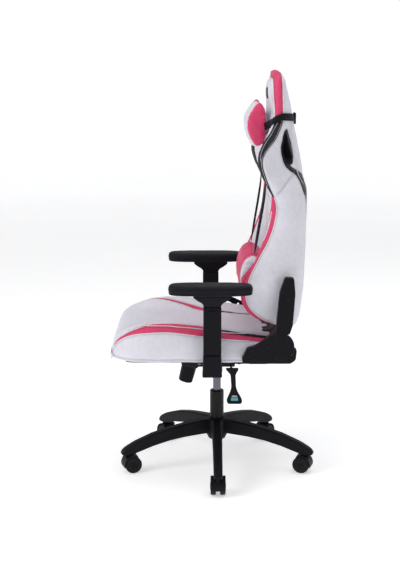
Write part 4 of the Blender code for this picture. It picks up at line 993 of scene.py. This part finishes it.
def make_head_strap():
    """The neck pillow's elastic band, laid on the backrest's surface from one end of the pillow round to the
    other."""
    heights = [(0, 1.226), (1, 1.23), (2, 1.235), (3, 1.238), (4, 1.239), (5, 1.232), (6, 1.222)]
    lift, half = 0.005, []
    for index in np.arange(5.9, -0.01, -0.35):
        z = np.interp(index, [h[0] for h in heights], [h[1] for h in heights])
        ring, above = full_section(back_half(z)), full_section(back_half(z + 0.01))
        k = index * SECTION_STEPS
        at, up_at = ([np.interp(k, range(len(r)), r[:, axis]) for axis in (0, 1)] for r in (ring, above))
        ahead = np.interp(k + 2, range(len(ring)), ring[:, 0]), np.interp(k + 2, range(len(ring)), ring[:, 1])
        before = ring[max(0, int(k) - 2)]
        along = Vector((ahead[0] - before[0], ahead[1] - before[1], 0))
        up = Vector((up_at[0] - at[0], up_at[1] - at[1], 0.01)).normalized()
        outward = along.cross(up).normalized()
        if outward.dot(Vector((at[0], at[1] - 0.19, 0))) < 0:
            outward = -outward
        half.append((Vector((at[0], at[1], z)) + outward * lift, up, outward))
    half = [(Vector((0.129, 0.148, 1.206)), Vector((0, -0.05, 1)), Vector((1, 0.1, 0))),
            (Vector((0.138, 0.161, 1.211)), Vector((0, -0.3, 1)), Vector((1, -0.1, 0)))] + half
    other = [tuple(Vector((-v.x, v.y, v.z)) for v in row) for row in reversed(half[:-1])]
    return strap("neck_band", half + other, 0.024, 0.0028, "back", "head_strap")


def make_lumbar_strap(side):
    """The lumbar pillow's strap, from the pillow's top into the harness opening."""
    sign = SIDES[side]
    lean = (math.cos(SLOT_LEAN), -sign * math.sin(SLOT_LEAN), 0)
    twist = (0.92, sign * 0.38, 0)
    rows = [((0.13, 0.123, 0.785), (1, 0, 0), (0, -1, 0.1)),
            ((0.132, 0.133, 0.85), twist, (0, -1, 0.2)),
            ((0.137, 0.149, 0.95), twist, (0, -1, 0.2)),
            ((0.143, 0.156, 1.03), (1, 0, 0), (0, -1, 0.1)),
            ((0.149, 0.1535, 1.086), lean, (0, -1, 0)),
            ((0.1515, 0.156, 1.0975), lean, (0, -0.7, 0.7)),
            ((0.159, 0.174, 1.1), lean, (0, 0, 1))]
    rows = [((sign * x, y, z), across, outward) for (x, y, z), across, outward in rows]
    return strap(f"lumbar_band_{side}", rows, 0.018, 0.0024, "back", f"lumbar_strap_{side}")


# ---- the flap that closes the gap between seat and backrest, black as painted shade ----
SHADE_FLAP_SECTION = [(0.15, 0.468), (0.176, 0.456), (0.206, 0.464), (0.228, 0.49), (0.237, 0.53),
                  (0.238, 0.562), (0.22, 0.564), (0.206, 0.54), (0.182, 0.512), (0.152, 0.506)]
SHADE_FLAP_HALF = 0.165


def make_shade_flap():
    """A soft black flap behind the seat, black as painted shade in the gap between seat and backrest."""
    rings = []
    for x in np.linspace(-SHADE_FLAP_HALF, SHADE_FLAP_HALF, 60):
        loop = curve_through(SHADE_FLAP_SECTION, 6, closed=True)
        sag = 0.0012 * math.sin(x * 120) + 0.0015 * math.sin(x * 47 + 1)
        rings.append([(x, y + sag, z - sag) for y, z in loop])
    # Painted shade: the flap is black to stand for the shade in the gap between seat and backrest.
    shade_flap = skin("rear_shade_flap", rings, "shade_flap_leather", caps=0.002, cap_axis=0)
    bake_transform(shade_flap)


# ---- armrest pads ----
PAD_PROFILE = [(0.006, 0.0), (0.0018, 0.0012), (0.001, 0.0085), (0.003, 0.0098), (0.0006, 0.0112),
               (0.0, 0.016), (0.0008, 0.0225), (0.0032, 0.0272), (0.0075, 0.03), (0.014, 0.0312),
               (0.024, 0.0317)]


def make_arm_pad(side):
    """A long foam pad on a harder tray: rounded outline, parting groove, crowned top."""
    low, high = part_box(f"arm_pad_{side}")
    middle = (low + high) / 2
    tall = (high.z - low.z) / PAD_PROFILE[-1][1]
    rings = []
    for inset, height in PAD_PROFILE:
        half_x, half_y = (high.x - low.x) / 2 - inset, (high.y - low.y) / 2 - inset
        power = 3.4
        ring = []
        for k in range(96):
            turn = 2 * math.pi * k / 96
            c, s = math.cos(turn), math.sin(turn)
            x = math.copysign(abs(c) ** (2 / power), c) * half_x
            y = math.copysign(abs(s) ** (2 / power), s) * half_y
            ring.append((middle.x + x, middle.y - COLUMN_Y + y, low.z + height * tall))
        rings.append(ring)
    pad = skin(f"arm_pad_skin_{side}", rings, "black_foam", caps=0.0)
    finer = pad.modifiers.new("finer", "SUBSURF")
    finer.levels = finer.render_levels = 2
    applied(pad)
    points, ways = places(pad)
    top = np.clip((points[:, 2] - low.z - 0.02) / 0.01, 0, 1)
    move_to(pad, points + ways * (crumple(points, 22.0, 6.0) * 0.0005 * top)[:, None])
    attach(pad, f"arm_pad_{side}")
    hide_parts(f"arm_pad_{side}")
    return pad


# ---- small hard details ----
def lathe_bit(profile, at, way, sides=24, hexagons=()):
    """(radius, height) rings about an axis; the rings numbered in hexagons have six flats."""
    turn = Vector(way).to_track_quat("Z", "Y").to_matrix()
    points = []
    for number, (radius, height) in enumerate(profile):
        for k in range(sides):
            angle = 2 * math.pi * k / sides
            r = radius
            if number in hexagons:
                r = radius * math.cos(math.pi / 6) / math.cos((angle % (math.pi / 3)) - math.pi / 6)
            points.append(Vector(at) + turn @ Vector((r * math.cos(angle), r * math.sin(angle), height)))
    return [tuple(p) for p in points], ring_faces(len(profile), sides)


SCREW = [(0.0052, -0.0012), (0.0052, 0.0004), (0.0046, 0.0012), (0.003, 0.0014), (0.0026, 0.001),
         (0.0024, -0.0006), (0.0004, -0.0008)]
WELL = [(0.0074, -0.0008), (0.0074, 0.0003), (0.0066, 0.0006), (0.006, 0.0002), (0.0056, -0.0008)]
BOLT_HEAD = [(0.0066, 0.0), (0.0066, 0.0038), (0.0058, 0.0046), (0.001, 0.0048)]
HUB_CAP = [(0.015, -0.0004), (0.0148, 0.0006), (0.0128, 0.001), (0.0122, 0.0004), (0.01, 0.0005),
           (0.007, 0.0013), (0.001, 0.0017)]


def small_parts(name, bits, material, body):
    obj = gather(name, bits, material)
    tidy_normals(obj)
    obj.data.set_sharp_from_angle(angle=math.radians(32))
    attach(obj, body)
    return obj


def make_screws():
    """Screws and their wells on the hinge covers, and the bolts under the seat."""
    for side, sign in SIDES.items():
        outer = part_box(f"hinge_upper_cover_{side}")[1 if sign > 0 else 0].x
        for body, y, z in (("back", 0.2262, 0.660), ("back", 0.2180, 0.585), ("seat", 0.1919, 0.462),
                           ("seat", 0.1000, 0.468)):
            tag = f"{body}_{side}_{int(z * 1000)}"
            small_parts(f"screw_{tag}", [lathe_bit(SCREW, (outer, y, z), (sign, 0, 0), hexagons=(3, 4, 5))],
                        "black_steel", body)
            well = lathe_bit(WELL, (outer, y, z), (sign, 0, 0))
            small_parts(f"screw_well_{tag}", [well], "black_plastic", body)
    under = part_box("seat_pan")[0].z - 0.0061
    spots = [(x, y) for x in (-0.076, 0.076) for y in (-0.128, 0.083)]
    spots += [(x, y) for x in (-0.155, 0.155) for y in (-0.062, 0.074)]
    bits = [lathe_bit(BOLT_HEAD, (x, y, under), (0, 0, -1), hexagons=(0, 1, 2)) for x, y in spots]
    small_parts("plate_bolts", bits, "bright_steel", "seat")


def make_hub_caps():
    """A dished cap on the outer face of each caster wheel."""
    for k in range(1, 6):
        low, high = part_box(f"caster_{k}_wheels")
        middle = (low + high) / 2
        turn = 2 * math.pi * (k - 1) / 5
        way = Vector((-math.sin(turn), math.cos(turn), 0))
        bits = []
        for sign in (-1, 1):
            at = middle - Vector((0, COLUMN_Y, 0)) + way * sign * 0.025
            bits.append(lathe_bit(HUB_CAP, at, way * sign))
        small_parts(f"hub_caps_{k}", bits, "black_nylon", f"caster_{k}_wheel_pair")


def make_patch(back):
    """A plain rubber patch on the front of the headrest."""
    face = Surface(back)
    wide, tall, thick, rows, columns = 0.036, 0.019, 0.0022, 9, 21
    front, rear = [], []
    for r in range(rows):
        for c in range(columns):
            a, b = 2 * c / (columns - 1) - 1, 2 * r / (rows - 1) - 1
            squeeze = (1 - 0.08 * abs(b) ** 4), (1 - 0.18 * abs(a) ** 6)
            at, way = face.hit((a * wide * squeeze[0], -1.0, 1.311 + b * tall * squeeze[1]), (0, 1, 0))
            border = min(1.0, (1 - max(abs(a), abs(b))) / 0.1)
            front.append(at + way * thick * (0.45 + 0.55 * border))
            rear.append(at - way * 0.002)
    count = rows * columns
    faces = [(r * columns + c, r * columns + c + 1, (r + 1) * columns + c + 1, (r + 1) * columns + c)
             for r in range(rows - 1) for c in range(columns - 1)]
    faces += [tuple(i + count for i in reversed(face)) for face in faces]
    rim = ([c for c in range(columns)] + [r * columns + columns - 1 for r in range(1, rows)]
           + [(rows - 1) * columns + c for c in range(columns - 2, -1, -1)]
           + [r * columns for r in range(rows - 2, 0, -1)])
    faces += [(rim[i], rim[i - 1], rim[i - 1] + count, rim[i] + count) for i in range(len(rim))]
    patch = piece("headrest_patch", front + rear, faces, "patch")
    tidy_normals(patch)
    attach(patch, "back")


def make_lever_mark():
    """A plain two-tone inlay on the tilt lock lever's paddle."""
    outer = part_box("tilt_lock_lever")[1].x
    for name, z0, z1, half, material in (("lever_mark", 0.288, 0.300, 0.0125, "mark"),
                                         ("lever_stripe", 0.303, 0.3055, 0.0095, "piping")):
        corners = [(0.0567 + half * a, z0 + (z1 - z0) * b) for a, b in
                   ((-1, 0.1), (-0.9, 0), (0.9, 0), (1, 0.1), (0.86, 1), (-0.86, 1))]
        points = [(x, y, z) for x in (outer - 0.0004, outer + 0.0003) for y, z in corners]
        mark = piece(name, points, ring_faces(2, len(corners)), material, smooth=False)
        tidy_normals(mark)
        edge = mark.modifiers.new("edges", "BEVEL")
        edge.width, edge.segments = 0.0001, 1
        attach(mark, "tilt_lock_lever")


# ---- CAD nodes ----
SPECIAL = {"gas_cylinder": "bare_steel", "piston_rod": "bright_steel"}
EDGE_WIDTH = {"seat_pan": 0.0010, "star_base": 0.0016}


def finish_cad_nodes():
    """Gives each node that still shows its finish, and softens its sharp edges."""
    slots = {row["node"]: row["material_slot"] for row in frame["record"]["subparts"]}
    for name, node in NODES.items():
        material = SPECIAL.get(name, slots[name])
        if name.endswith("_wheels"):
            material = "wheel"
        if name.endswith("_stem"):
            material = "bright_steel"
        if node.hide_render:
            continue
        if not node.material_slots:
            node.data.materials.append(None)
        for slot in node.material_slots:
            slot.link = "OBJECT"
            slot.material = MATERIALS[material]
        weld = node.modifiers.new("weld", "WELD")
        weld.merge_threshold = 0.00002
        bevel = node.modifiers.new("edges", "BEVEL")
        bevel.width = EDGE_WIDTH.get(name, 0.0007)
        bevel.segments = 2
        bevel.limit_method = "ANGLE"
        bevel.angle_limit = math.radians(32)
        bevel.use_clamp_overlap = True
        weighted = node.modifiers.new("normals", "WEIGHTED_NORMAL")
        weighted.keep_sharp = False


# ---- stage ----
# The floor's rings as (radius, height).
FLOOR_RINGS = [(0.5, -0.0005), (2.0, -0.0005), (5.5, -0.0005), (6.1, 0.03), (6.6, 0.15), (6.9, 0.4),
               (7.0, 0.8)]
WORLD_STRENGTH, WORLD_SEEN, FLOOR_GLOW = 0.42, 1.05, 0.45
CAMERA_PLACE = (4.0, -0.06 + COLUMN_Y, 1.47)
CAMERA_DOWN, CAMERA_LENS = math.radians(11.6), 73.96


def area_light(name, place, aim, size, power, colour=(1, 1, 1)):
    data = bpy.data.lights.new(name, "AREA")
    data.shape, data.size, data.energy, data.color = "DISK", size, power, colour
    obj = bpy.data.objects.new(name, data)
    obj.location = place
    obj.rotation_euler = (Vector(aim) - Vector(place)).to_track_quat("-Z", "Y").to_euler()
    bpy.context.scene.collection.objects.link(obj)


def make_stage():
    """A plain pale floor that sweeps up all round, soft lights, and the camera."""
    make = Finish("pale_floor", roughness=0.8, specular=0.1)
    cloud = make.noise(2.0, 3.0)
    make.shader.inputs["Emission Color"].default_value = (1, 1, 1, 1)
    make.shader.inputs["Emission Strength"].default_value = FLOOR_GLOW
    floor_material = make.done(make.mix(cloud, (0.9, 0.9, 0.905), (0.93, 0.93, 0.935)),
                               make.between(cloud, 0.3, 0.7, 0.75, 0.85))
    steps = 72
    points = [(r * math.cos(2 * math.pi * k / steps), r * math.sin(2 * math.pi * k / steps), z)
              for r, z in FLOOR_RINGS for k in range(steps)]
    mesh = bpy.data.meshes.new("floor")
    mesh.from_pydata(points, [], ring_faces(len(FLOOR_RINGS), steps)[:-1])
    mesh.materials.append(floor_material)
    floor = bpy.data.objects.new("floor", mesh)
    bpy.context.scene.collection.objects.link(floor)
    world = bpy.data.worlds.new("studio")
    world.use_nodes = True
    shader = world.node_tree.nodes["Background"]
    shader.inputs["Color"].default_value = (0.97, 0.98, 1.0, 1)
    seen = world.node_tree.nodes.new("ShaderNodeLightPath").outputs["Is Camera Ray"]
    power = world.node_tree.nodes.new("ShaderNodeMapRange")
    power.inputs["To Min"].default_value, power.inputs["To Max"].default_value = WORLD_STRENGTH, WORLD_SEEN
    world.node_tree.links.new(seen, power.inputs["Value"])
    world.node_tree.links.new(power.outputs["Result"], shader.inputs["Strength"])
    bpy.context.scene.world = world
    area_light("key", (1.7, -3.2, 3.0), (0, 0.1, 0.8), 2.2, 62, (1.0, 0.99, 0.98))
    area_light("fill", (3.2, 2.4, 1.6), (0, 0.1, 0.8), 2.6, 4)
    area_light("top", (0.2, 0.4, 3.6), (0, 0, 0.6), 2.6, 30)
    area_light("rear", (-2.6, 2.4, 2.4), (0, 0.1, 0.8), 2.2, 8)
    data = bpy.data.cameras.new("camera")
    data.lens = CAMERA_LENS
    data.clip_end = 60
    camera = bpy.data.objects.new("camera", data)
    camera.location = CAMERA_PLACE
    camera.rotation_euler = (math.pi / 2 - CAMERA_DOWN, 0, math.pi / 2)
    bpy.context.scene.collection.objects.link(camera)
    bpy.context.scene.camera = camera
    bpy.context.scene.view_settings.view_transform = "Standard"


def main():
    make_stage()
    back, seat = make_backrest(), make_seat()
    pillows = {kind: make_pillow(kind) for kind in PILLOWS}
    make_head_strap()
    make_shade_flap()
    for side in SIDES:
        make_lumbar_strap(side)
        make_arm_pad(side)
    dress_backrest(back)
    dress_seat(seat)
    for kind, pillow in pillows.items():
        dress_pillow(kind, pillow)
    make_screws()
    make_hub_caps()
    make_patch(back)
    make_lever_mark()
    finish_cad_nodes()


main()
